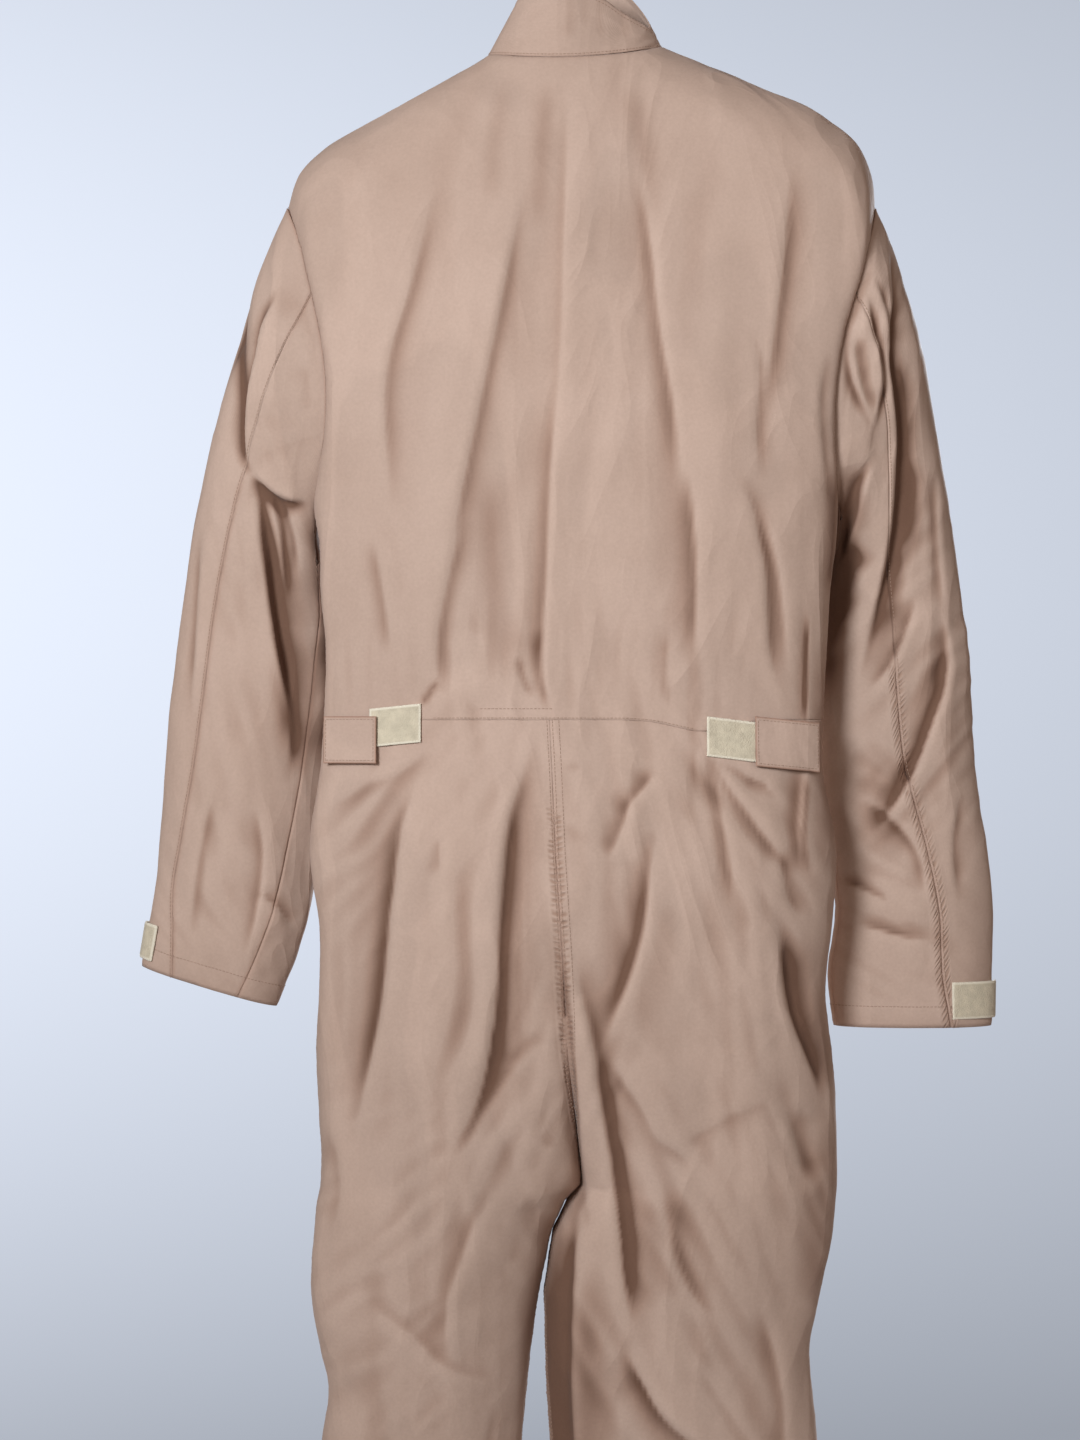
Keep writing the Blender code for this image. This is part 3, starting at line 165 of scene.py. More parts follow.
SLEEVE = {
    "left": (
        ("drop", "outer", "inner", "y", "half_depth", "seam_back", "seam_inner"),
        (560, -330, -206, 30, 30, 62, 150),
        (612, -336, -202, 32, 31, 58, 141),
        (687, -342, -205, 33, 31, 52, 134),
        (737, -345, -211, 32, 30, 47, 129),
        (787, -349, -220, 30, 28, 44, 125),
        (825, -354, -232, 28, 25, 52, 121),
        (860, -359, -247, 26, 22, 60, 117),
    ),
    "right": (
        ("drop", "outer", "inner", "y", "half_depth", "seam_back", "seam_inner"),
        (560, 331, 208, 30, 30, 92, 166),
        (612, 335, 206, 32, 31, 90, 166),
        (680, 340, 208, 33, 31, 86, 166),
        (740, 350, 218, 32, 30, 81, 165),
        (800, 356, 225, 30, 28, 76, 164),
        (850, 355, 218, 28, 25, 71, 164),
        (893, 354, 222, 26, 22, 65, 164),
    ),
}
CAP = (
    ("around", "lean", "forward"),
    (0.00, 26, 0.0), (0.20, 27, 0.0), (0.35, 34, 0.1), (0.44, 22, 0.35), (0.50, 8, 0.6),
    (0.56, 22, 0.5), (0.65, 34, 0.2), (0.80, 27, 0.0), (1.00, 26, 0.0),
)
CUFF_TILT = {"left": 0.30, "right": 0.0}
COLLAR = (
    ("angle", "height", "lean"),
    (-82, 54, 0.10), (-60, 56, 0.22), (-30, 57, 0.38), (0, 58, 0.44), (45, 58, 0.34),
    (90, 58, 0.18), (111, 48, 0.22), (128, 35, 0.30), (145, 24, 0.36), (163, 18, 0.38),
    (180, 42, 0.50), (200, 66, 0.56), (230, 70, 0.44), (262, 60, 0.10),
)

# ---- seams, mm
Seam = namedtuple("Seam", "depth tint pucker slow fade")
SEAMS = {
    "felled": Seam(0.40, 0.34, 0.22, 0.22, 9),
    "plain": Seam(0.30, 0.42, 0.12, 0.16, 8),
    "faint": Seam(0.00, 0.05, 0.06, 0.20, 10),
    "neck": Seam(0.15, 0.20, 0.00, 0.00, 8),
    "hem": Seam(0.20, 0.20, 0.00, 0.00, 8),
}
GROOVE_WIDTH = 1.2
TINT_WIDTH = 2.5

# ---- folds, mm
# A lap steps down across its path: the cloth on the side "high" (-1 left, 1 right) stands
# up by "rise", the other side sinks by "dip", over their widths; "edge" is the step's width.
Lap = namedtuple("Lap", "high rise rise_width dip dip_width edge path")
BACK_LAPS = (
    # centre back, from between the shoulder blades to the waist
    (1, 1.0, 30, 1.8, 18, 3.6, ((-2, 120), (-5, 205), (-10, 349), (-16, 440))),
    (1, 1.9, 34, 4.6, 16, 3.6, ((-13, 360), (-18, 445), (-21, 520), (-23, 600), (-20, 632))),
    (1, 1.1, 12, 2.5, 6, 3.6, ((-24, 560), (-26, 590), (-22, 615), (-16, 632))),
    # left shoulder blade: long soft folds that lean out towards the waist
    (-1, 1.6, 30, 2.9, 20, 3.6, ((-36, 190), (-49, 264), (-66, 350), (-84, 435), (-104, 540))),
    (-1, 1.1, 22, 2.2, 14, 3.6, ((-108, 200), (-129, 290), (-146, 350), (-144, 480))),
    (1, 0.9, 12, 2.0, 6, 3.6, ((-160, 486), (-154, 520), (-148, 560), (-145, 590))),
    (-1, 1.2, 20, 2.5, 12, 3.6, ((-84, 470), (-100, 530), (-108, 580), (-106, 626))),
    # right shoulder blade: fine edge, and the leaf that runs down to the strap
    (1, 1.6, 30, 3.0, 22, 3.6, ((48, 180), (62, 250), (71, 328), (82, 400), (84, 470))),
    (-1, 1.1, 16, 2.2, 7, 3.6, ((140, 318), (147, 345), (148, 413), (151, 450))),
    (-1, 1.4, 18, 2.9, 8, 3.6, ((128, 438), (143, 463), (153, 500), (164, 604), (170, 622))),
    (1, 1.0, 12, 1.8, 8, 3.6, ((143, 463), (160, 500), (171, 560), (173, 604))),
    (-1, 1.5, 24, 2.9, 16, 3.6, ((176, 185), (172, 250), (162, 330), (154, 400))),
    (1, 1.4, 18, 2.5, 12, 3.6, ((92, 430), (97, 480), (99, 540), (96, 600))),
    (-1, 1.0, 14, 2.0, 9, 3.6, ((206, 330), (200, 380), (204, 430), (208, 470))),
    # left thigh's long folds from the waist seam, and the point they end in
    (-1, 3.7, 34, 5.5, 25, 4.2, ((-29, 638), (-39, 680), (-49, 715), (-54, 760), (-57, 800),
     (-62, 880), (-78, 950), (-104, 1002))),
    (1, 3.1, 30, 4.0, 19, 4.2, ((-119, 668), (-126, 690), (-136, 725), (-142, 770), (-146, 800),
     (-152, 861), (-166, 930), (-178, 985))),
    (-1, 1.3, 14, 1.5, 16, 4.2, ((-113, 652), (-124, 668), (-141, 680), (-161, 688), (-186, 702),
     (-201, 708))),
    (1, 1.0, 8, 1.5, 5, 4.2, ((-105, 726), (-104, 745), (-104, 764))),
    # seat: a valley beside the seam, a long tube of cloth, and the valley right of it
    (1, 2.5, 9, 5.5, 9, 4.2, ((-13, 780), (-9, 812), (-4, 850), (0, 890), (4, 945), (8, 985),
     (14, 1030), (20, 1060))),
    (-1, 2.8, 9, 6.0, 19, 4.2, ((-2, 810), (6, 850), (15, 885), (22, 930), (30, 980), (37, 1030),
     (42, 1080), (45, 1125), (42, 1150))),
    (1, 3.1, 30, 4.5, 18, 4.2, ((70, 716), (64, 741), (59, 781), (54, 811), (43, 846), (29, 884),
     (24, 905))),
    (1, 2.5, 20, 3.5, 10, 4.2, ((67, 676), (58, 690), (48, 702), (38, 716))),
    (1, 1.9, 16, 3.0, 10, 4.2, ((50, 700), (42, 716), (34, 736), (28, 750))),
    (1, 0.6, 8, 0.8, 5, 4.2, ((-7, 675), (2, 671), (10, 678))),
    (1, 0.5, 8, 0.6, 5, 4.2, ((-6, 718), (2, 724), (8, 733))),
    # right waist, fanning from the tape's corner
    (1, 1.9, 16, 2.5, 10, 4.2, ((108, 656), (113, 680), (118, 705), (124, 740), (127, 775),
     (128, 800))),
    (1, 2.1, 18, 3.8, 13, 4.2, ((109, 660), (122, 684), (142, 715), (162, 740), (182, 764))),
    (1, 1.6, 12, 2.2, 9, 4.2, ((106, 658), (124, 672), (146, 685), (172, 700))),
    # the slit at the right side, above and below the strap
    (1, 1.4, 12, 1.6, 5, 3.0, ((190, 540), (189, 590), (188, 652))),
    (1, 2.5, 8, 4.5, 9, 4.2, ((187, 668), (184, 700), (182, 724), (188, 764))),
    (-1, 1.4, 9, 3.0, 9, 4.2, ((166, 735), (168, 752), (172, 778), (186, 800))),
    # the strip of the right leg that lies in the left one's shade
    (1, 1.2, 12, 6.0, 16, 4.2, ((10, 1000), (7, 1030), (4, 1056), (0, 1105), (-2, 1160), (0, 1230),
     (2, 1290))),
    # right leg: hollow below the hip, long creases from the seat down to the knee
    (-1, 3.1, 22, 6.0, 19, 4.2, ((166, 795), (168, 830), (174, 870), (190, 910), (205, 948))),
    (1, 1.7, 30, 2.2, 23, 4.2, ((24, 898), (38, 922), (54, 945), (70, 972), (90, 984),
     (110, 992))),
    (-1, 2.0, 30, 2.2, 18, 4.2, ((68, 1004), (78, 1042), (88, 1080), (98, 1100), (120, 1120))),
    (-1, 1.0, 18, 1.0, 13, 4.2, ((172, 950), (182, 985), (188, 1012))),
    (1, 0.8, 26, 1.0, 18, 4.2, ((80, 980), (118, 957), (163, 936))),
    (1, 3.7, 30, 5.0, 19, 4.2, ((40, 1138), (44, 1146), (56, 1168), (74, 1196), (94, 1214),
     (124, 1230))),
    (1, 2.1, 26, 2.5, 18, 4.2, ((150, 1100), (170, 1180), (172, 1260))),
    (1, 1.9, 26, 2.5, 20, 4.2, ((60, 1260), (92, 1330), (104, 1420))),
    # left leg: creases towards the crotch and round the knee
    (1, 1.1, 24, 1.4, 16, 4.2, ((-10, 886), (-32, 900), (-62, 936), (-84, 970), (-104, 1001))),
    (1, 1.0, 10, 0.9, 8, 4.2, ((-26, 888), (-38, 900), (-54, 916))),
    (-1, 0.9, 14, 1.0, 11, 4.2, ((-26, 940), (-29, 962), (-20, 978), (-4, 984))),
    (1, 1.9, 26, 2.5, 20, 4.2, ((-66, 1010), (-86, 1060), (-100, 1110), (-96, 1160))),
    (1, 1.1, 20, 1.5, 18, 4.2, ((-198, 960), (-186, 1010), (-194, 1060))),
    (-1, 1.4, 26, 1.5, 23, 4.2, ((-170, 1100), (-130, 1130), (-92, 1162), (-56, 1170))),
    (-1, 1.9, 28, 2.2, 23, 4.2, ((-60, 1180), (-80, 1260), (-110, 1340))),
    # the lower legs hang in long quiet folds, with a few slanting creases behind the calf
    (1, 2.6, 24, 3.6, 18, 5.0, ((-138, 1300), (-124, 1400), (-120, 1500), (-128, 1640))),
    (-1, 2.2, 22, 3.0, 16, 5.0, ((-72, 1370), (-86, 1450), (-88, 1540), (-76, 1660))),
    (-1, 1.3, 20, 1.4, 18, 5.0, ((-160, 1430), (-128, 1462), (-96, 1480))),
    (1, 1.2, 20, 1.2, 16, 5.0, ((-56, 1580), (-84, 1600), (-124, 1604))),
    (1, 2.5, 24, 3.4, 18, 5.0, ((66, 1400), (82, 1490), (84, 1580), (74, 1680))),
    (-1, 2.6, 26, 3.6, 18, 5.0, ((142, 1320), (128, 1410), (122, 1510), (130, 1650))),
    (1, 1.4, 20, 1.4, 18, 5.0, ((60, 1370), (88, 1404), (130, 1424))),
    (-1, 1.1, 18, 1.2, 16, 5.0, ((152, 1510), (124, 1534), (96, 1540))),
)
# A swell rises (or sinks, when negative) by its height along a path, over its width.
Swell = namedtuple("Swell", "height width path")
BACK_SWELLS = (
    (2.2, 22, ((-62, 230), (-98, 400), (-128, 600))),
    (2.2, 22, ((22, 200), (30, 400), (34, 600))),
    (2.2, 20, ((116, 200), (118, 400), (124, 600))),
    (1.8, 18, ((-150, 190), (-172, 330), (-172, 470))),
    (-3.0, 16, ((-66, 430), (-62, 540), (-50, 632))),
    (1.8, 10, ((-84, 560), (-82, 600), (-78, 632))),
    (-0.9, 6, ((76, 560), (73, 600), (77, 632))),
    (-1.2, 3, ((94, 570), (95, 640), (96, 700))),
    (-2.0, 3, ((-107, 604), (-114, 615), (-122, 626))),
    (-2.0, 3, ((-44, 584), (-38, 606), (-30, 622))),
    (-1.7, 3, ((138, 684), (150, 688), (159, 690))),
    (-3.0, 10, ((184, 940), (190, 985), (196, 1013))),
    (-3.0, 16, ((-92, 720), (-88, 850), (-100, 930))),
    (3.4, 20, ((-96, 660), (-104, 800), (-124, 960))),
    (3.0, 18, ((96, 700), (92, 800), (84, 900))),
    (2.6, 20, ((148, 790), (150, 860), (160, 950))),
    (-3.8, 22, ((-154, 1045), (-160, 1125), (-150, 1240))),
    (3.4, 20, ((60, 1160), (110, 1240), (150, 1330))),
    (3.0, 24, ((-130, 1150), (-140, 1260), (-130, 1380))),
    (-3.0, 24, ((20, 1200), (40, 1300), (60, 1420))),
    (-3.0, 24, ((-100, 1300), (-110, 1420), (-96, 1620))),
    (-3.0, 24, ((110, 1400), (96, 1540), (104, 1680))),
)
# A shade: strength and width of the dark that lies in a deep place, along its path.
Shade = namedtuple("Shade", "strength width path")
BACK_SHADES = (
    # the right leg's inner edge, behind the left one, and the cleft under the seat
    (0.95, 17, ((-14, 990), (-16, 1060), (-20, 1120), (-20, 1200), (-18, 1300), (-10, 1420),
     (-6, 1560))),
    (0.80, 20, ((8, 1040), (8, 1100), (10, 1180), (12, 1260), (20, 1360), (22, 1480))),
    (0.55, 3, ((-12, 800), (-7, 840), (-1, 890), (4, 950), (9, 1000))),
    (0.50, 7, ((20, 900), (28, 950), (36, 1000), (44, 1060), (46, 1130))),
    (0.45, 22, ((66, 1010), (70, 1060), (80, 1110))),
    (0.30, 30, ((70, 760), (52, 830), (40, 890))),
    # under the strap and down the right side, and beside the underarm
    (0.80, 6, ((214, 430), (212, 480), (210, 540))),
    (1.10, 2.0, ((190, 546), (189, 590), (188, 646))),
    (1.00, 2.6, ((190, 676), (188, 700), (186, 730), (190, 764))),
    (0.45, 14, ((202, 560), (204, 620), (206, 700), (206, 780))),
    (0.60, 14, ((176, 800), (182, 850), (196, 905), (206, 950))),
    (0.40, 18, ((196, 960), (200, 1040), (206, 1120))),
    # shallow darks beside the leg folds and in the small of the back
    (0.22, 26, ((-30, 660), (-44, 740), (-46, 860), (-70, 950))),
    (0.30, 8, ((-20, 116), (-24, 180), (-28, 250))),
    (0.30, 10, ((44, 116), (58, 180), (66, 260))),
    (0.20, 8, ((-54, 112), (-62, 170), (-66, 230))),
    (0.18, 22, ((-132, 680), (-150, 740), (-160, 860), (-176, 960))),
    (0.25, 3, ((76, 566), (73, 606), (77, 628))),
    (0.25, 3, ((98, 572), (100, 640), (94, 720))),
    (0.20, 3, ((-107, 600), (-114, 615), (-122, 628))),
    (0.22, 3, ((-24, 556), (-23, 600), (-22, 632))),
    (0.16, 16, ((-60, 420), (-56, 520), (-44, 620))),
    (0.14, 20, ((86, 420), (92, 520), (96, 610))),
)
FRONT_SHADES = (
    (1.0, 13, ((212, 420), (212, 480), (210, 550))),
    (1.0, 13, ((-210, 420), (-210, 480), (-208, 550))),
)
SLEEVE_SHADES = {
    "left": (
        (1.00, 8, ((-257, 446), (-251, 500), (-246, 550), (-240, 600), (-232, 650), (-226, 690))),
        (0.55, 16, ((-244, 470), (-234, 540), (-226, 620), (-222, 700))),
        (0.75, 7, ((-279, 250), (-280, 290), (-277, 340), (-272, 390), (-268, 430))),
        (0.60, 4, ((-258, 446), (-244, 462), (-226, 470))),
        (0.80, 6, ((-216, 440), (-212, 500), (-208, 580), (-204, 700))),
    ),
    "right": (
        (1.00, 9, ((238, 430), (232, 470), (226, 520), (222, 580))),
        (1.00, 10, ((214, 420), (216, 480), (216, 540), (214, 640))),
        (0.75, 9, ((272, 330), (276, 400), (276, 450), (272, 500), (262, 560), (248, 612))),
        (0.45, 4, ((236, 316), (236, 345), (242, 372), (246, 394))),
        (0.90, 3.5, ((270, 330), (273, 380), (273, 440), (270, 480))),
        (0.55, 12, ((281, 420), (284, 455), (279, 500))),
        (0.80, 8, ((224, 524), (232, 502), (246, 514))),
        (0.50, 22, ((232, 660), (262, 700), (244, 760))),
        (0.30, 20, ((300, 560), (306, 640), (290, 720))),
    ),
}
# The hidden front hangs in its own softer folds.
FRONT_LAPS = (
    # from the waist seam down the thighs
    (-1, 2.4, 34, 3.4, 26, 5.0, ((-66, 640), (-84, 740), (-100, 860), (-112, 990))),
    (1, 2.6, 30, 3.6, 24, 5.0, ((96, 640), (104, 730), (96, 830), (78, 940))),
    (1, 1.6, 22, 2.2, 18, 4.6, ((-150, 650), (-158, 740), (-150, 850))),
    (-1, 1.5, 20, 2.0, 16, 4.6, ((150, 648), (142, 700), (150, 790))),
    # towards the crotch
    (-1, 2.6, 26, 3.4, 20, 4.4, ((-30, 940), (-64, 1000), (-116, 1046))),
    (1, 2.4, 26, 3.2, 20, 4.4, ((40, 952), (76, 1010), (120, 1072), (150, 1110))),
    (-1, 1.5, 20, 2.2, 16, 4.4, ((-40, 990), (-70, 1040), (-90, 1090))),
    # knees and shins
    (-1, 2.0, 28, 3.0, 22, 4.6, ((-152, 1110), (-124, 1180), (-104, 1290), (-100, 1420))),
    (1, 2.0, 28, 3.0, 22, 4.6, ((158, 1160), (126, 1220), (104, 1330), (96, 1400))),
    (1, 1.8, 24, 2.6, 20, 5.0, ((-136, 1400), (-130, 1520), (-134, 1670))),
    (-1, 1.8, 24, 2.6, 20, 5.0, ((140, 1290), (132, 1400), (126, 1560), (130, 1680))),
    (-1, 1.4, 18, 2.0, 14, 4.6, ((-70, 1500), (-78, 1580), (-74, 1670))),
    (1, 1.2, 16, 1.6, 14, 4.6, ((70, 1540), (90, 1580), (118, 1600))),
    # the chest lies quiet
    (-1, 1.4, 24, 2.0, 18, 5.0, ((-88, 250), (-104, 360), (-116, 500))),
    (1, 1.3, 24, 1.9, 18, 5.0, ((106, 320), (118, 430), (112, 560))),
    (1, 1.2, 20, 1.6, 16, 5.0, ((-44, 380), (-52, 480), (-60, 590))),
    (-1, 1.2, 20, 1.6, 16, 5.0, ((48, 270), (58, 360), (56, 470))),
)
FRONT_SWELLS = (
    (-6.0, 24, ((-120, 200), (-100, 400), (-80, 620))),
    (-6.0, 24, ((130, 200), (110, 400), (95, 620))),
    (4.5, 24, ((-60, 240), (-55, 420), (-45, 620))),
    (4.5, 24, ((62, 240), (58, 420), (48, 620))),
    (-5.0, 22, ((-150, 300), (-160, 450), (-140, 610))),
    (-5.0, 22, ((160, 300), (165, 450), (150, 610))),
    (-5.0, 24, ((-120, 1060), (-110, 1250), (-125, 1500))),
    (-5.0, 24, ((100, 1060), (110, 1250), (98, 1500))),
    (4.0, 20, ((-160, 700), (-150, 900), (-155, 1100))),
    (4.0, 20, ((162, 700), (152, 900), (158, 1100))),
    (-5.0, 26, ((-100, 1400), (-112, 1560), (-104, 1690))),
    (-5.0, 26, ((92, 1400), (104, 1560), (98, 1690))),
)
SLEEVE_LAPS = {
    "left": (
        # the bulge behind the arm: its edge, its foot and the gather below it
        (1, 4.9, 24, 9.7, 10, 2.6, ((-238, 286), (-243, 297), (-250, 310), (-257, 340),
         (-264, 365), (-269, 395), (-267, 422), (-259, 441))),
        (1, 3.2, 14, 6.8, 8, 2.6, ((-264, 434), (-256, 441), (-244, 452), (-228, 458),
         (-214, 457))),
        (-1, 4.9, 20, 10.5, 12, 2.6, ((-262, 432), (-257, 462), (-252, 500), (-247, 545),
         (-240, 590), (-230, 640))),
        (-1, 1.8, 7, 4.1, 6, 2.6, ((-257, 442), (-247, 456), (-241, 474), (-238, 500),
         (-234, 540))),
        (1, 1.7, 6, 3.0, 6, 2.6, ((-254, 443), (-236, 464), (-228, 488), (-226, 520))),
        (-1, 1.7, 9, 2.6, 8, 2.6, ((-246, 560), (-238, 600), (-232, 640), (-236, 690))),
        (1, 1.5, 14, 2.7, 10, 2.6, ((-262, 700), (-256, 750), (-262, 800), (-272, 840))),
        (-1, 1.4, 12, 2.4, 9, 2.6, ((-262, 780), (-240, 800), (-234, 812))),
        (1, 1.4, 14, 2.4, 11, 2.6, ((-306, 470), (-312, 560), (-316, 640))),
        (-1, 1.3, 12, 2.2, 10, 2.6, ((-296, 690), (-310, 760), (-316, 820))),
    ),
    "right": (
        # two loops of cloth beside the armhole and the long edge below them
        (1, 3.2, 10, 5.3, 7, 2.6, ((240, 263), (241, 275), (236, 288), (230, 307), (224, 324),
         (223, 341), (226, 356), (232, 372), (240, 388), (248, 404))),
        (-1, 3.2, 10, 6.0, 6, 2.6, ((238, 286), (240, 303), (248, 336), (252, 357), (250, 386),
         (247, 402))),
        (-1, 2.5, 9, 3.7, 7, 2.6, ((243, 278), (250, 291), (255, 307), (258, 324), (255, 334))),
        (-1, 4.3, 16, 9.0, 14, 2.6, ((256, 226), (261, 262), (263, 295), (261, 322), (260, 343),
         (264, 370), (268, 403), (268, 430), (266, 470), (261, 510), (250, 560), (238, 611))),
        (1, 3.2, 12, 7.5, 12, 2.6, ((248, 420), (238, 445), (233, 470), (227, 491), (222, 512))),
        (1, 1.4, 14, 2.7, 10, 2.6, ((306, 420), (305, 455), (307, 505), (312, 560))),
        (1, 3.2, 22, 5.3, 13, 2.6, ((308, 537), (313, 570), (312, 604), (300, 640), (285, 678),
         (250, 735))),
        (1, 1.7, 12, 3.0, 9, 2.6, ((288, 530), (280, 560), (262, 596), (246, 616))),
        (-1, 1.7, 12, 2.7, 9, 2.6, ((225, 771), (246, 780), (267, 791))),
        (-1, 1.7, 12, 2.7, 9, 2.6, ((233, 806), (262, 814), (300, 822))),
        (1, 1.4, 12, 2.4, 9, 2.6, ((236, 700), (262, 716), (286, 744), (296, 790))),
        (-1, 1.3, 12, 2.2, 9, 2.6, ((326, 690), (318, 740), (322, 790))),
    ),
}
SLEEVE_SWELLS = {
    "left": (
        (4.0, 14, ((-216, 520), (-214, 560), (-212, 590), (-208, 660))),
        (-7.0, 7, ((-276, 250), (-278, 290), (-277, 340), (-276, 400), (-272, 440))),
        (3.2, 16, ((-222, 300), (-240, 350), (-246, 400))),
        (-0.9, 6, ((-217, 345), (-214, 368), (-214, 392))),
        (2.8, 9, ((-214, 480), (-212, 530), (-214, 590))),
        (2.4, 14, ((-272, 640), (-280, 720), (-300, 800))),
    ),
    "right": (
        (-4.8, 5, ((231, 318), (233, 345), (239, 372), (244, 392))),
        (2.4, 6, ((245, 320), (249, 350), (248, 380))),
        (-4.8, 12, ((240, 480), (233, 515), (228, 560))),
        (-3.2, 12, ((280, 330), (284, 400), (282, 480))),
        (2.4, 12, ((250, 760), (280, 790), (310, 800))),
    ),
}
COLLAR_SWELLS = (
    (-0.7, 6, ((11, 26), (11, 54), (12, 82))),
    (-0.8, 6, ((-1, 40), (-1, 64), (-2, 90))),
    (-0.7, 5, ((24, 40), (23, 64), (24, 90))),
    (-0.8, 6, ((42, 40), (43, 66), (45, 92))),
    (1.0, 9, ((-36, 30), (-42, 60), (-48, 92))),
)
# Creased patches: many short creases lying one way, dying out away from the middle.
Patch = namedtuple("Patch", "height x drop half_wide half_tall lean long short")
BACK_PATCHES = (
    (1.8, 0, 330, 210, 260, -4, 260, 57),
    (0.9, -60, 600, 120, 50, 4, 90, 16),
    (0.8, 90, 600, 90, 60, -4, 90, 15),
    (1.5, -150, 720, 70, 80, -38, 90, 22),
    (1.7, 90, 740, 110, 100, 14, 120, 25),
    (1.4, 140, 720, 70, 70, 34, 80, 17),
    (1.4, -110, 880, 110, 160, -10, 150, 32),
    (1.7, -30, 960, 60, 90, -24, 80, 20),
    (1.7, 80, 1040, 110, 120, 26, 130, 25),
    (1.3, 170, 960, 50, 120, 14, 90, 17),
    (1.4, -150, 1100, 90, 130, -52, 110, 27),
    (1.7, 110, 1200, 110, 120, 30, 130, 27),
    (1.4, -110, 1300, 100, 200, 8, 170, 35),
    (1.4, 90, 1450, 100, 240, -10, 170, 35),
    (1.1, -100, 1600, 100, 160, 6, 120, 30),
)
FRONT_PATCHES = (
    (1.5, 0, 350, 210, 260, 3, 240, 55),
    (1.0, 0, 620, 190, 60, 2, 90, 20),
    (1.4, -90, 800, 100, 160, -12, 140, 32),
    (1.4, 95, 800, 100, 160, 12, 140, 32),
    (1.5, -60, 1020, 100, 90, -38, 100, 25),
    (1.5, 70, 1020, 100, 90, 38, 100, 25),
    (1.4, -110, 1300, 100, 260, 6, 170, 35),
    (1.4, 95, 1300, 100, 260, -6, 170, 35),
    (1.1, -100, 1600, 100, 160, -6, 120, 30),
    (1.1, 95, 1600, 100, 160, 6, 120, 30),
)
SLEEVE_PATCHES = {
    "left": (
        (1.7, -250, 500, 40, 70, 12, 80, 15),
        (1.2, -300, 520, 60, 160, -8, 150, 30),
        (1.4, -270, 700, 70, 130, 14, 120, 25),
        (1.1, -290, 820, 60, 60, 30, 70, 17),
    ),
    "right": (
        (1.8, 250, 330, 40, 90, -10, 70, 12),
        (1.2, 300, 420, 50, 120, 6, 120, 25),
        (2.0, 300, 620, 60, 110, -44, 90, 21),
        (1.8, 280, 780, 70, 90, 60, 90, 22),
    ),
}

# ---- laid pieces and trims, mm
STRAP_WALL = 1.5
TAPE_WALL = 1.4
WAIST_TAPES = {
    "left": {"x": (-163.0, -121.0), "drop": (628.0, 659.0), "slope": -0.10},
    "right": {"x": (108.0, 152.0), "drop": (634.0, 666.0), "slope": 0.12},
}
WAIST_STRAPS = {
    "left": {"x": (-201.0, -157.0), "drop": (634.0, 672.0), "slope": 0.0},
    "right": {"x": (147.0, 201.0), "drop": (634.0, 674.0), "slope": 0.10},
}
CUFF_TABS = {
    "left": {"angles": (-34.0, 34.0), "above_edge": (8.0, 39.0)},
    "right": {"angles": (2.0, 64.0), "above_edge": (7.0, 38.0)},
}
REST_RADIUS = 26.0         # of the bend with which a laid piece bridges hollows
TAB_LIFT = 1.6
LAID_GAP = 0.4             # between the cloth, a tape and the strap on it
EDGE_FALL = 0.45
STITCH = (2.3, 0.55, 0.35)  # length, width and height of one stitch
STITCH_PITCH = 3.1
STRAP_STITCH_IN = 2.6
# A row of stitches: panel, border, depth from it, and the range of x where it ends early.
STITCH_ROWS = {
    "stitches_back": (
        ("back_bodice", "first_row", 1.6, -112, 98), ("back_bodice", "first_row", 9.0, -74, -16),
        ("trouser_back_*", "last_col", 2.2), ("trouser_back_right", "last_col", 7.4),
        ("back_bodice", "first_col", 2.0), ("back_bodice", "last_col", 2.0),
        ("trouser_back_*", "last_row", 18.0),
    ),
    "stitches_front": (
        ("front_bodice_*", "last_col", 2.2), ("front_bodice_*", "last_col", 8.0),
        ("front_bodice_*", "first_row", 1.8), ("trouser_front_*", "last_col", 2.2),
        ("trouser_front_*", "last_row", 18.0),
    ),
    "stitches_sleeves": (
        ("sleeve_*_upper", "last_col", 2.0), ("sleeve_*_upper", "last_row", 18.0),
        ("sleeve_*_under", "last_row", 18.0),
    ),
    "stitches_collar": (("collar", "first_row", 2.0), ("collar", "last_row", 5.0)),
}
TOOTH = (3.4, 1.3, 1.5)
TOOTH_PITCH = 2.6
BLOCK_CORNERS = np.array([(-1, -1, 0), (1, -1, 0), (1, 1, 0), (-1, 1, 0),
                          (-0.7, -0.6, 1), (0.7, -0.6, 1), (0.7, 0.6, 1), (-0.7, 0.6, 1)])
BLOCK_FACES = np.array([(0, 3, 2, 1), (4, 5, 6, 7), (0, 1, 5, 4), (1, 2, 6, 5), (2, 3, 7, 6),
                        (3, 0, 4, 7)])
BLOCK_SINK = 0.08
ZIP_SINK = 1.4
ZIP_UNDER = 4.0            # by which a zip tape lies under its front
BAR_BELOW = 14.6           # middle of the hanger's bar under the shoulder seams
BAR_NECK_DIP = 9.0
BAR_ENDS = (0.25, 0.21)    # shares of the shoulder seams at which the bar ends
BAR_HALF_DEPTH = 10.6
BAR_HALF_HEIGHT = 7.7
WIRE_RADIUS = 1.9
HOOK_INNER_RADIUS = 18.0
HOOK_STEM = ((0, -86), (0, -75), (0, -64), (1.5, -56), (7, -46), (14.5, -35))   # x, z
LENS, SENSOR = 39.58, 24.0
CAMERA_PLACE = (-0.0256, -1.97, -0.637)      # metres, as below
FLOOR_RADIUS, FLOOR_LEVEL = 1.2, -1.85
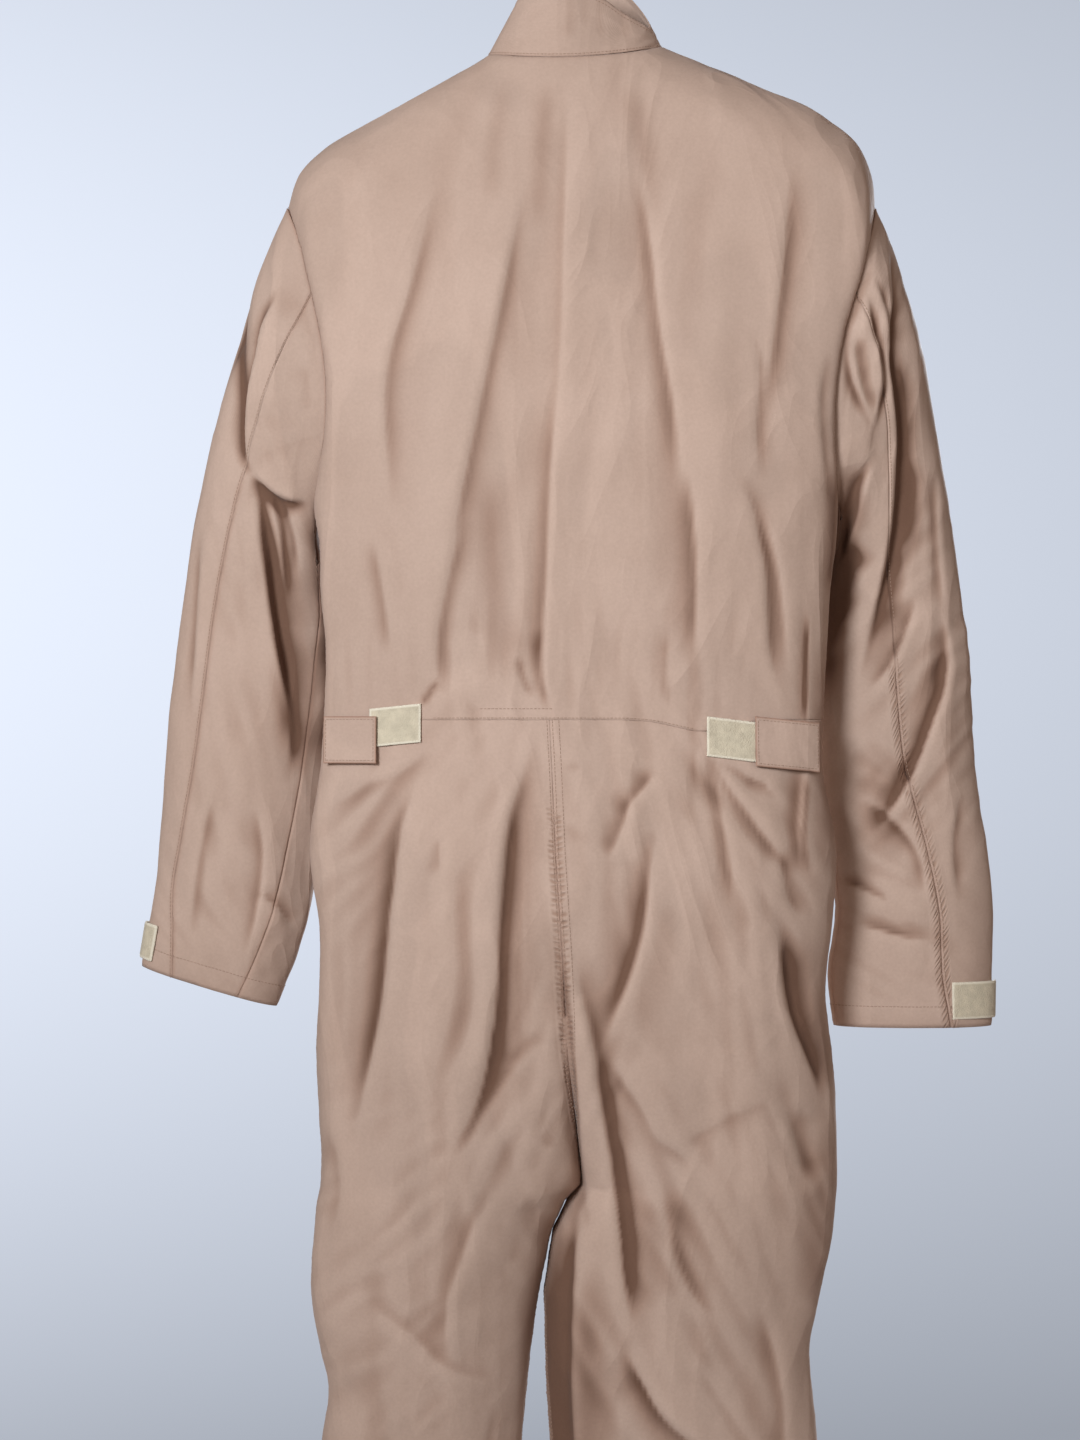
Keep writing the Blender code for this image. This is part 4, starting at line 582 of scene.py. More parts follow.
# Lights: name, place and target in metres, size, watts, colour and spread in degrees.
LIGHTS = (
    ("key", (-1.15, -2.2, 0.02), (0.18, 0.0, -0.48), 0.8, 14.2, (0.915, 0.985, 1.05), 84),
    ("fill", (1.3, -2.0, 0.1), (0.0, 0.0, -0.5), 1.4, 6, (1.0, 0.96, 0.93)),
    ("front_key", (0.9, 1.6, -0.1), (0.0, 0.0, -0.6), 0.6, 34, (0.90, 0.995, 1.10)),
    ("front_fill", (-1.1, 2.3, 0.2), (0.0, 0.0, -0.8), 1.6, 7, (0.95, 0.99, 1.04)),
)


# ---- curves
def hermite(t, start, leave, end, arrive):
    """Cubic from start to end as t runs from 0 to 1, with those slopes at its two ends."""
    return ((1 + 2 * t) * (1 - t) ** 2 * start + t * (1 - t) ** 2 * leave
            + t * t * (3 - 2 * t) * end + t * t * (t - 1) * arrive)


def smooth(xs, ys, x):
    """Cubic curve through (xs, ys): each span is a Hermite piece with centred slopes."""
    xs, ys = np.asarray(xs, float), np.asarray(ys, float)
    slopes = np.gradient(ys, xs)
    x = np.clip(np.asarray(x, float), xs[0], xs[-1])
    i = np.clip(np.searchsorted(xs, x, side="right") - 1, 0, len(xs) - 2)
    span = xs[i + 1] - xs[i]
    return hermite((x - xs[i]) / span, ys[i], span * slopes[i], ys[i + 1], span * slopes[i + 1])


def read(table, name, at):
    """The named column of a table, smoothed along the table's first column."""
    rows = np.array(table[1:], float)
    return smooth(rows[:, 0], rows[:, table[0].index(name)], at)


def rounded(q, power):
    """One at q = 0 and falling to zero at q = 1, as a superellipse of that power."""
    return (1 - np.clip(np.abs(q), 0, 1) ** power) ** (1 / power)


def ramp(low, high, x):
    """Zero below low, one above high, smooth between."""
    t = np.clip((x - low) / (high - low), 0, 1)
    return t * t * (3 - 2 * t)


def band(low, up, down, out, x):
    """One between up and down, falling smoothly to zero at low and at out."""
    return ramp(low, up, x) * (1 - ramp(down, out, x))


def size_of(v):
    """Length of each vector: the root of its summed squares."""
    return np.linalg.norm(v, axis=-1, keepdims=True)


def unit(v):
    """Each vector divided by its length."""
    return v / np.maximum(size_of(v), TINY)


def run_along(points):
    """Distance along a line of points at each of them: the sum of the steps so far."""
    return np.concatenate([[0], np.cumsum(size_of(np.diff(points, axis=0))[:, 0])])


def points_at(at, run, points):
    """Points of a line at given distances along it, straight between its own points."""
    return np.stack([np.interp(at, run, column) for column in points.T], axis=-1)


def curved(points, count):
    """That many even places on the smooth curve through a line of points."""
    points = np.array(points, float)
    run = run_along(points)
    fine = np.linspace(0, run[-1], count)
    return np.stack([smooth(run, column, fine) for column in points.T], axis=-1)


def steps_from_seam(count, fine_count, fine):
    """Places 0 to 1 in that many steps, the first ones shorter."""
    step = np.ones(count)
    step[:fine_count] = fine
    return np.concatenate([[0], np.cumsum(step)]) / step.sum()


# ---- the suit's lines
def shoulder_roll(below_top):
    """How far the cloth has turned from the shoulder seam to the full depth, 0 to 1."""
    return np.sqrt(1 - (1 - np.clip(below_top / SHOULDER_ROLL, 0, 1)) ** 2)


def edge_point(side, face, drop):
    """x and y on the side seam or the armhole, from the edge table.

    Below the underarm both faces share one line; under the tip the shoulder's roll applies.
    """
    armhole_part = drop < UNDERARM_DROP
    x = read(EDGE, side, drop)
    y = np.where(armhole_part, read(EDGE, face + "_y", drop), CROTCH_Y)
    if face == "front":
        x = x - SIGN[side] * np.where(armhole_part, read(EDGE, "front_in", drop), 0.0)
    return x, TIP_Y + (y - TIP_Y) * shoulder_roll(drop - TIP_DROP)


def neck_point(angle):
    """The neck seam at an angle: 0 is the left side, 90 the back, 180 right, 270 front."""
    across, depth = -np.cos(np.radians(angle)), np.sin(np.radians(angle))
    x = NECK_X + NECK_HALF * across
    y = NECK_Y - np.where(depth > 0, NECK_BACK, NECK_FRONT) * depth
    side = NECK_SIDE_DROP[0] + (NECK_SIDE_DROP[1] - NECK_SIDE_DROP[0]) * (across + 1) / 2
    dip = np.where(depth > 0, NECK_BACK_DIP * np.abs(depth) ** 1.6,
                   NECK_FRONT_DIP * np.abs(depth) ** 2.6)
    return np.stack([x, y, side + dip], axis=-1)


def shoulder_point(side, along):
    """The shoulder seam from the armhole (0) to the neck (1)."""
    return np.stack([read(SHOULDER[side], c, along) for c in ("x", "y", "drop")], axis=-1)


def waist_sag(x):
    """The waist seam hangs lower right of the middle, by a bell."""
    return SAG_DROP * np.exp(-((x - SAG_X) / SAG_WIDTH) ** 2)


def edge_rows():
    """Drops of the rows on a bodice edge, from the waist up to the shoulder tip."""
    side = WAIST_DROP + (UNDERARM_DROP - WAIST_DROP) * steps_from_seam(SIDE_STEPS, 12, 0.45)
    up = np.linspace(0, 1, ARM_STEPS + 1)[1:]
    return np.concatenate([side, TIP_DROP + (UNDERARM_DROP - TIP_DROP) * (1 - up) ** 1.25])


def seat_share():
    """Share of the waist's width at which the seat seam meets it."""
    left, seam, right = (read(LOWER, c, WAIST_DROP) for c in ("left", "left_in", "right"))
    return (seam - left) / (right - left)


def side_spacing():
    """Column places from a side edge inwards, closer together near the edge, as a cosine."""
    return 1 - np.cos(np.linspace(0, math.pi / 2, SHOULDER_STEPS + 1))


def back_columns():
    """Shares of the back's width at its columns, closer at the side and seat seams."""
    seat = seat_share()
    to_left = steps_from_seam(NECK_LEFT_STEPS, 8, 0.45)[::-1][1:]
    to_right = steps_from_seam(NECK_RIGHT_STEPS, 8, 0.45)[1:]
    return np.concatenate([NECK_LEFT_AT * side_spacing(), seat - (seat - NECK_LEFT_AT) * to_left,
                           seat + (NECK_RIGHT_AT - seat) * to_right,
                           1 - (1 - NECK_RIGHT_AT) * side_spacing()[::-1][1:]])


def front_columns():
    """Shares of half the front's width, from the side seam to the zip."""
    near = 1 - steps_from_seam(FRONT_NECK_STEPS, 5, 0.5)[::-1]
    return np.concatenate([FRONT_NECK_AT * side_spacing(),
                           FRONT_NECK_AT + (1 - FRONT_NECK_AT) * near[1:]])


def front_centre(side, drop):
    """x of a front's centre edge: the centre line, set off by half the zip's width."""
    zip_half = ZIP_HALF * np.clip((ZIP_TIP_DROP - drop) / (ZIP_TIP_DROP - ZIP_END_DROP), 0, 1)
    return smooth(*CENTRE_LINE, drop) + SIGN[side] * zip_half


def section(q, edge_y, deep, power):
    """y across a section: a superellipse from edge_y at q = -1 and 1 to the full depth."""
    return edge_y + (deep - edge_y) * rounded(q, power)


# ---- the suit's surfaces
def lean_to_top(x, top, up, sag):
    """x and drop of a bodice's points.

    Rows rise evenly from the waist seam to the top edge, and from LEAN_FROM upwards they
    lean sideways until the last one lies on that edge.
    """
    x = x + (top[:, 0] - x[-1]) * ramp(LEAN_FROM, 1.0, up)[:, None]
    waist = WAIST_DROP + sag * waist_sag(x[0])
    return x, waist + (top[:, 2] - waist) * up[:, None]


def back_bodice():
    """Rows run from the waist to the shoulder and neck, columns from left to right.

    Each point lies on its row's superellipse section; under the shoulder seam the
    section closes as a quarter circle, and the upper rows lean to the seam's own points.
    """
    drops = edge_rows()
    up = (WAIST_DROP - drops) / (WAIST_DROP - TIP_DROP)
    share = back_columns()
    lx, ly = edge_point("left", "back", drops)
    rx, ry = edge_point("right", "back", drops)
    top = back_top(share)
    x, drop = lean_to_top(lx[:, None] + (rx - lx)[:, None] * share, top, up, 1)
    edge_y = ly[:, None] + (ry - ly)[:, None] * share
    body = section(2 * share - 1, edge_y, -read(DEPTH, "back", drop), TORSO_POWER)
    y = top[:, 1] + (body - top[:, 1]) * shoulder_roll(drop - top[:, 2])
    y[:, 0], y[:, -1] = ly, ry
    grid = np.stack([x, y, -drop], axis=-1)
    for corner in (SHOULDER_STEPS, len(share) - 1 - SHOULDER_STEPS):
        ease_corner(grid, corner)
    return grid


def ease_corner(grid, column):
    """Rounds the rows where they turn a corner of the top edge, less towards that edge.

    Each row's points near the column are drawn to their mean over a window of columns,
    by a share that falls as a bell away from the column and is nought on the edge itself.
    """
    below = size_of(grid - grid[-1:])
    near = np.exp(-((np.arange(grid.shape[1]) - column) / EASE_COLUMNS) ** 2)
    upper = ramp(0.3, 0.6, np.linspace(0, 1, len(grid)))
    share = near[None, :, None] * ramp(0, EASE_BELOW, below) * upper[:, None, None]
    mean = np.stack([blurred(grid[..., i], 0, EASE_COLUMNS // 2) for i in range(3)], axis=-1)
    grid += (mean - grid) * share


def back_top(share):
    """The back's top edge: a shoulder seam, the neckline, and the other shoulder."""
    left = shoulder_point("left", share / NECK_LEFT_AT)
    right = shoulder_point("right", (1 - share) / (1 - NECK_RIGHT_AT))
    neck = neck_point(180 * (share - NECK_LEFT_AT) / (NECK_RIGHT_AT - NECK_LEFT_AT))
    s = share[:, None]
    past_left = np.where(s >= NECK_RIGHT_AT - TINY, right, neck)
    return np.where(s <= NECK_LEFT_AT + TINY, left, past_left)


def front_bodice(side):
    """Half the front, rows from the waist up, columns from the side seam to the zip.

    Its points lie on the superellipse from the side seam over the body's middle.
    """
    drops = edge_rows()
    up = (WAIST_DROP - drops) / (WAIST_DROP - TIP_DROP)
    share = front_columns()
    ex, ey = (v[:, None] for v in edge_point(side, "front", drops))
    top = front_top(side, share)
    middle = sum(read(EDGE, s, drops) for s in SIGN)[:, None] / 2
    inner = front_centre(side, drops)[:, None]
    x, drop = lean_to_top(ex + (inner - ex) * share, top, up, 0)
    body = section((x - middle) / (ex - middle), ey, read(DEPTH, "front", drop), TORSO_POWER)
    y = top[:, 1] + (body - top[:, 1]) * shoulder_roll(drop - top[:, 2])
    y[:, :1] = ey
    return np.stack([x, y, -drop], axis=-1)


def front_neck_angle(share):
    """Angle round the neck from its side, at a share of the front's width past the shoulder."""
    reach = 90 - math.degrees(math.asin(ZIP_HALF / NECK_HALF))
    return reach * (share - FRONT_NECK_AT) / (1 - FRONT_NECK_AT)


def front_top(side, share):
    """The front's top edge: the shoulder seam, then the neckline down to the zip."""
    angle = front_neck_angle(share)
    neck = neck_point(-angle if side == "left" else 180 + angle)
    return np.where(share[:, None] <= FRONT_NECK_AT + TINY,
                    shoulder_point(side, share / FRONT_NECK_AT), neck)


def lower_rows():
    """Drops of the rows below the waist, closer under the waist seam."""
    hip = WAIST_DROP + (HIP_END_DROP - WAIST_DROP) * steps_from_seam(HIP_STEPS, 12, 0.4)
    rows = np.concatenate([hip, np.linspace(HIP_END_DROP, HEM_DROP, LEG_STEPS + 1)[1:]])
    rows[np.abs(rows - CROTCH_DROP).argmin()] = CROTCH_DROP
    return rows


def trouser_panel(side, face):
    """One leg's front or back from the waist to the hem, side seam to inner edge.

    Above the crotch the section is the hip's superellipse; below, the leg's closed ring;
    between, the first turns into the second, which bends the seat seam under the body.
    """
    drops = lower_rows()
    table = np.array(LOWER[1:], float)
    inner = np.interp(drops, table[:, 0], table[:, LOWER[0].index(side + "_in")])
    if face == "front":
        inner = np.where(drops < CROTCH_DROP, front_centre(side, drops), inner)
    drops, inner = drops[:, None], inner[:, None]
    part = np.clip((drops - SEAT_START) / (CROTCH_DROP - SEAT_START), 0, 1) ** 2.5
    columns = trouser_columns(side, face)
    ring = (1 - np.cos(np.linspace(0, math.pi, len(columns)))) / 2
    share = columns + (ring - columns) * part
    outer = read(LOWER, side, drops)
    x = outer + (inner - outer) * share
    deep = read(DEPTH, face, drops) * (-1 if face == "back" else 1)
    left, right = (read(LOWER, s, drops) for s in SIGN)
    hip = section((2 * x - left - right) / (right - left), CROTCH_Y, deep, TORSO_POWER)
    leg = section(2 * share - 1, CROTCH_Y, deep, LEG_POWER)
    sag = waist_sag(x) if face == "back" else 0 * x
    drop = drops + sag * (1 - ramp(0, SAG_FADE, drops - WAIST_DROP))
    return np.stack([x, hip + (leg - hip) * part, -drop], axis=-1)


def trouser_columns(side, face):
    """Column places at the waist, the same as on the bodice above."""
    if face == "front":
        return front_columns()
    seat, share = seat_share(), back_columns()
    seam = SHOULDER_STEPS + NECK_LEFT_STEPS
    return share[:seam + 1] / seat if side == "left" else (1 - share[seam:][::-1]) / (1 - seat)


def armhole(side):
    """The armhole as one ring: down the back from the shoulder tip, then up the front."""
    drops = edge_rows()[SIDE_STEPS:]
    return np.concatenate([np.stack([*edge_point(side, face, order), -order], axis=-1)
                           for face, order in (("back", drops[::-1]), ("front", drops[1:]))])


def sleeve_ring(side, drop, angle):
    """A sleeve's section: an ellipse between its outer and inner edge; near the cuff it tilts."""
    table = SLEEVE[side]
    outer, inner, y, half = (read(table, c, drop) for c in ("outer", "inner", "y", "half_depth"))
    a = np.radians(angle)
    x = (outer + inner) / 2 + (outer - inner) / 2 * np.cos(a)
    first, last = table[1][0], table[-1][0]
    tilt = CUFF_TILT[side] * ((drop - first) / (last - first)) ** 2
    z = -drop - tilt * np.abs(x - outer) + tilt * np.abs(inner - outer) / 2
    return np.stack(np.broadcast_arrays(x, y - half * np.sin(a), z), axis=-1)


def sleeve_columns_ring(side, drop):
    """The ring at a drop, its columns set from 0 outside past the two seams to 360 degrees."""
    back, inner = (read(SLEEVE[side], c, drop) for c in ("seam_back", "seam_inner"))
    around = np.linspace(0, 2, 2 * ARM_STEPS + 1)
    return sleeve_ring(side, drop, np.interp(around, (0, SEAM_AT, 1, 2), (0, back, inner, 360)))


def sleeve_panels(side):
    """The under sleeve between its two seams, and the upper sleeve round the rest.

    A cubic span leaves the armhole outwards and comes down onto the first level ring; the
    table's rings carry on from there to the cuff.
    """
    first, last = float(SLEEVE[side][1][0]), SLEEVE[side][-1][0]
    start, level = armhole(side), sleeve_columns_ring(side, first)
    reach = size_of(level - start)
    around = np.linspace(0, 1, len(start))
    lean = np.radians(read(CAP, "lean", around))
    away = np.stack([SIGN[side] * np.sin(lean), read(CAP, "forward", around), -np.cos(lean)],
                    axis=-1)
    down = np.array([SIGN[side] * HANG_OUT, 0.0, -HANG_DOWN])
    t = steps_from_seam(CAP_STEPS, 8, 0.5)[:, None, None]
    cap = hermite(t, start, reach * away, level, reach * down)
    drops = np.linspace(first, last, FOREARM_STEPS + 1)[1:]
    whole = np.concatenate([cap, np.array([sleeve_columns_ring(side, d) for d in drops])])
    seam = round(SEAM_AT * ARM_STEPS)
    upper = np.concatenate([whole[:, ARM_STEPS:-1], whole[:, :seam + 1]], axis=1)
    return whole[:, seam:ARM_STEPS + 1], upper


def collar_grid():
    """The stand collar: the neck seam's points carried up and leant inwards."""
    front = front_neck_angle(front_columns()[SHOULDER_STEPS:])
    share = back_columns()[SHOULDER_STEPS:-SHOULDER_STEPS]
    back = 180 * (share - NECK_LEFT_AT) / (NECK_RIGHT_AT - NECK_LEFT_AT)
    angle = np.concatenate([-front[::-1][:-1], back, 180 + front[1:]])
    height, lean = (read(COLLAR, c, angle) for c in ("height", "lean"))
    x, y, drop = neck_point(angle).T
    t = np.linspace(0, 1, COLLAR_STEPS + 1)[:, None]
    inward = 1 - lean * t * height / COLLAR_FULL
    return np.stack([NECK_X + (x - NECK_X) * inward, NECK_Y + (y - NECK_Y) * inward,
                     -drop + height * t], axis=-1)


# ---- fold shapes
def beside(grid, path, reach):
    """The part of a grid near a smoothed path.

    Gives the mask of the points within reach of the path's box, their distance to the
    nearest of its short straight steps, positive at its right, and their place along it,
    0 to 1.
    """
    x, drop = grid[..., 0], -grid[..., 2]
    low, high = np.min(path, axis=0) - reach, np.max(path, axis=0) + reach
    mask = (x > low[0]) & (x < high[0]) & (drop > low[1]) & (drop < high[1])
    line = curved(path, 8 * len(path))
    start, step = line[:-1], np.diff(line, axis=0)
    p = np.stack([x[mask], drop[mask]], axis=-1)[:, None, :]
    t = np.clip(((p - start) * step).sum(-1) / (step ** 2).sum(-1), 0, 1)
    off = p - (start + t[..., None] * step)
    dist = size_of(off)[..., 0]
    near = dist.argmin(-1)
    i = np.arange(len(near))
    side = step[near, 1] * off[i, near, 0] - step[near, 0] * off[i, near, 1]
    return mask, np.sign(side) * dist[i, near], (near + t[i, near]) / len(start)


def along_paths(grid, rows, reach, shape, fade=0.3):
    """Sum over a table's rows of a shape across each row's path, faded at its two ends."""
    total = np.zeros(grid.shape[:2])
    for row in rows:
        mask, d, along = beside(grid, row.path, reach(row))
        total[mask] += ramp(0, fade, along) * ramp(0, fade, 1 - along) * shape(row, d)
    return total


def lap_height(grid, laps):
    """Up on one side of each path and down on the other, the step following tanh."""
    def step(lap, d):
        away = np.hypot(d, lap.edge) - lap.edge
        up = 0.5 * (1 + np.tanh(d * lap.high / lap.edge))
        return (up * lap.rise * np.exp(-away / lap.rise_width)
                - (1 - up) * lap.dip * np.exp(-away / lap.dip_width))

    return along_paths(grid, laps, lambda lap: 3.5 * max(lap.rise_width, lap.dip_width), step)


def lap_shade(grid, laps):
    """Share of shade at the foot of each lap, by its dip and falling away from the path."""
    def dark(lap, d):
        away = np.hypot(d, lap.edge) - lap.edge
        low = 0.5 * (1 - np.tanh(d * lap.high / lap.edge))
        line = np.exp(-((d * lap.high + 1) / 3.9) ** 2)
        return lap.dip / 9 * (0.5 * low * np.exp(-away / (0.7 * lap.dip_width)) + 0.42 * line)

    return np.minimum(0.8 * along_paths(grid, laps, lambda lap: 3.5 * lap.dip_width, dark), 0.8)


def deep_shade(grid, shades):
    """Shade in deep places: strength times exp(-(d / width) squared) round each path."""
    return along_paths(grid, shades, lambda row: 2.6 * row.width,
                       lambda row, d: row.strength * np.exp(-(d / row.width) ** 2), fade=0.25)


def swell_height(grid, swells):
    """A rounded ridge or valley along each path, falling off exponentially past its top."""
    def ridge(row, d):
        round_off = 0.35 * row.width
        return row.height * np.exp((round_off - np.hypot(d, round_off)) / row.width)

    return along_paths(grid, swells, lambda row: 3 * row.width, ridge)


def blurred(height, rows, cols):
    """Mean over a window of rows by columns, taken twice, with the borders repeated."""
    for reach in (rows, cols) * 2:
        total = np.cumsum(np.pad(height, ((reach + 1, reach), (0, 0)), mode="edge"), axis=0)
        height = ((total[2 * reach + 1:] - total[:-2 * reach - 1]) / (2 * reach + 1)).T
    return height


def hollowness(height):
    """How far a point lies under (positive) or over (negative) the cloth round it, -1 to 1."""
    close = np.tanh((blurred(height, 2, 2) - height) / 1.6)
    wide = np.tanh((blurred(height, 7, 7) - height) / 5.0)
    return 0.55 * close + 0.45 * wide


def noise(points, seed):
    """Smooth random height from -1 to 1: random slopes at unit cells' corners, blended."""
    rng = np.random.default_rng(seed)
    slopes = rng.normal(size=(256, 3))
    slopes /= size_of(slopes)
    order = rng.permutation(256)
    cell = np.floor(points).astype(np.int64)
    f = points - cell
    blend = f ** 3 * (f * (f * 6 - 15) + 10)
    total = np.zeros(points.shape[:-1])
    for corner in itertools.product((0, 1), repeat=3):
        i, j, k = np.moveaxis((cell + corner) % 256, -1, 0)
        slope = slopes[order[(order[(order[i] + j) % 256] + k) % 256]]
        weight = np.prod(np.where(corner, blend, 1 - blend), axis=-1)
        total += weight * (slope * (f - corner)).sum(-1)
    return 1.5 * total


def wrinkles(grid):
    """Long soft creases down the cloth, sharp-crested crumples, and a fine unevenness.

    A crumple's crest is where its noise crosses zero, rounded by a square root.
    """
    slack = ramp(*SLACK_DROPS, -grid[..., 2])
    high = (1.6 + 2.4 * slack) * noise(grid / (62, 90, 260), 3)
    long_crest, short_crest = noise(grid / (30, 40, 120), 5), noise(grid / (15, 20, 34), 7)
    high += (0.7 + 0.5 * slack) * (0.3 - np.sqrt(long_crest ** 2 + 0.005))
    high += 0.32 * (0.3 - np.sqrt(short_crest ** 2 + 0.006))
    return high + 0.10 * noise(grid / (7, 9, 11), 9)


def patch_height(grid, patches):
    """Creased patches: the height falls off as a bell, and each crease is where a noise
    stretched along the patch's lean crosses zero, rounded by a square root.
    """
    height = np.zeros(grid.shape[:2])
    for i, patch in enumerate(patches):
        dx, dd = grid[..., 0] - patch.x, -grid[..., 2] - patch.drop
        spread = (dx / patch.half_wide) ** 2 + (dd / patch.half_tall) ** 2
        mask = spread < 4
        cos, sin = math.cos(math.radians(patch.lean)), math.sin(math.radians(patch.lean))
        along = dx[mask] * sin + dd[mask] * cos
        across = dx[mask] * cos - dd[mask] * sin
        bend = 0.35 * noise(np.stack([along / 90, across / 60, 0 * along + 7.3 * i], -1), 21 + i)
        n = noise(np.stack([along / patch.long, across / patch.short + bend,
                            grid[mask][:, 1] / 90], -1), 40 + i)
        bell = np.exp(-spread[mask] ** 1.5 / 2)
        height[mask] += patch.height * bell * (0.45 - np.sqrt(n * n + 0.012)) * 1.7
    return height


# ---- cloth panels
def grid_normals(grid, outward):
    """Unit normals of a grid, turned outward by the panel's own sign."""
    return unit(np.cross(np.gradient(grid, axis=1), np.gradient(grid, axis=0)) * outward)


def cloth_group(name):
    """Panels that carry on smoothly into each other."""
    if name.startswith("sleeve"):
        return 1
    if name.startswith("trouser"):
        return 2 if name.endswith("left") else 3
    return 0


def share_normals(panels):
    """Averages the normals where panels meet; where groups fold back, keeps each group's own.

    Border points that coincide get one number; summed normals per number, and per number
    and group, are the means. Sets each panel's "folded" mask where the groups disagree.
    """
    masks = {}
    for name, panel in panels.items():
        masks[name] = np.ones(panel["grid"].shape[:2], bool)
        masks[name][1:-1, 1:-1] = False
    points = np.concatenate([panels[n]["grid"][mask] for n, mask in masks.items()])
    normals = np.concatenate([panels[n]["normal"][mask] for n, mask in masks.items()])
    group = np.concatenate([np.full(mask.sum(), cloth_group(n)) for n, mask in masks.items()])
    _, number = np.unique(np.round(points / SAME_POINT).astype(np.int64), axis=0,
                          return_inverse=True)
    number = number.ravel()
    own = np.zeros((number.max() + 1, 4, 3))
    np.add.at(own, (number, group), normals)
    total = own.sum(1)
    folded = (size_of(total)[:, 0] / np.bincount(number) < FOLDED_BACK)[number]
    mean = unit(np.where(folded[:, None], own[number, group], total[number]))
    start = 0
    for name, mask in masks.items():
        part = slice(start, start + mask.sum())
        panels[name]["normal"][mask] = mean[part]
        panels[name]["folded"] = np.zeros(mask.shape, bool)
        panels[name]["folded"][mask] = folded[part]
        start = part.stop


def reach_in(grid):
    """Distance along the cloth from each border, the sum of the grid's steps."""
    down = np.apply_along_axis(np.cumsum, 0, padded_steps(grid))
    across = np.apply_along_axis(np.cumsum, 0, padded_steps(grid.swapaxes(0, 1))).T
    return dict(zip(BORDERS, (down, down[-1:] - down, across, across[:, -1:] - across)))


def padded_steps(grid):
    """Length of each step down a grid's columns, with nought before the first."""
    steps = size_of(np.diff(grid, axis=0))[..., 0]
    return np.concatenate([np.zeros((1, grid.shape[1])), steps])


def seam_tint_of(panel):
    """Strength of the darker tint beside each border, by its kind of seam."""
    tint = np.zeros(panel["grid"].shape[:2])
    for border, kind in panel["seams"].items():
        near = np.exp(-(panel["reach"][border] / TINT_WIDTH) ** 2)
        tint = np.maximum(tint, SEAMS[kind].tint * near)
    return tint * panel["seam_share"]


def pucker_of(panel):
    """Where a felled seam is pinched across: a band beside it, as strong as the seam shows. The
    cloth gets relief and painted shade in the pinches there.
    """
    pinched = np.zeros(panel["grid"].shape[:2])
    for border, kind in panel["seams"].items():
        if kind == "felled":
            pinched = np.maximum(pinched, band(0.0, 1.6, 4.0, 7.5, panel["reach"][border]))
    return pinched * ramp(0.3, 0.9, panel["seam_share"])


def seam_relief(reach, kinds):
    """Height of the seams round a panel's border.

    Every border sinks by a narrow groove and puckers beside it, by its kind of seam: short
    puckers and slow ones are sines along the border that fade away from it. A felled
    border has a band 7 mm wide that stands up, and a hem is a doubled band 18 mm wide.
    """
    groove = np.zeros_like(reach["first_row"])
    height = np.zeros_like(groove)
    for border, kind in kinds.items():
        seam, d = SEAMS[kind], reach[border]
        along = reach["first_col" if border.endswith("row") else "first_row"]
        line = np.exp(-(d / GROOVE_WIDTH) ** 2)
        broken = 0.6 + 0.4 * np.sin(along / 1.6 + 2 * np.sin(along / 13.0))
        groove = np.maximum(groove, seam.depth * broken * line)
        pucker = np.sin(along / 1.25 + 1.3 * np.sin(along / 9.0)) * (1 - line)
        slow = np.sin(along / 4.1 + 2.0 * np.sin(along / 23.0)) * (1 - line)
        height += (seam.pucker * pucker + seam.slow * slow) * np.exp(-(d / seam.fade) ** 2)
        if kind == "felled":
            height += 0.5 * band(0.3, 1.6, 6.5, 8.5, d)
        elif kind == "hem":
            height += 0.5 * band(0.2, 1.0, 17, 19, d) + 0.3 * slow * band(8, 16, 20, 34, d)
    return height - groove


def cloth_panels():
    """Every cloth panel: grid, laps, swells, patches, borders where folds die out, and seams.

    Seams are named in the order of BORDERS.
    """
    folds = {"back": (BACK_LAPS, BACK_SWELLS, BACK_PATCHES, BACK_SHADES),
             "front": (FRONT_LAPS, FRONT_SWELLS, FRONT_PATCHES, FRONT_SHADES)}
    ends, sides = BORDERS[:2], BORDERS[2:]
    upward = sides + ("last_row",)
    rows = {"back_bodice": (back_bodice(), folds["back"], upward, "faint neck plain plain")}
    for side in SIGN:
        rows[f"front_bodice_{side}"] = (front_bodice(side), folds["front"], upward,
                                        "faint plain plain felled")
    for face, calm in (("back", sides[:1]), ("front", sides)):
        for side in SIGN:
            rows[f"trouser_{face}_{side}"] = (trouser_panel(side, face), folds[face], calm,
                                              "faint hem plain felled")
    for side, seam in (("left", "plain"), ("right", "felled")):
        under, upper = sleeve_panels(side)
        own = (SLEEVE_LAPS[side], SLEEVE_SWELLS[side], SLEEVE_PATCHES[side], SLEEVE_SHADES[side])
        rows[f"sleeve_{side}_under"] = (under, own, ends, f"plain hem {seam} plain")
        rows[f"sleeve_{side}_upper"] = (upper, own, ends, f"plain hem plain {seam}")
    rows["collar"] = (collar_grid(), ((), COLLAR_SWELLS, (), ()), ends[:1], "neck hem hem hem")
    panels = {}
    for name, (grid, tables, calm, seams) in rows.items():
        laps, swells, patches, shades = ([kind(*row) for row in table] for kind, table
                                         in zip((Lap, Swell, Patch, Shade), tables))
        panels[name] = {"grid": grid, "laps": laps, "swells": swells, "patches": patches,
                        "shades": shades, "calm": calm, "seams": dict(zip(BORDERS, seams.split()))}
    return panels


def outward_sign(name, grid):
    """Sign that points a panel's normals away from the garment's inside."""
    r, c = grid.shape[0] // 2, grid.shape[1] // 2
    away = np.array([0.0, -1.0 if "back" in name or "under" in name else 1.0, 0.0])
    if name == "collar":
        away = grid[r, c] - (NECK_X, NECK_Y, grid[r, c, 2])
    return 1 if grid_normals(grid, 1)[r, c] @ away > 0 else -1


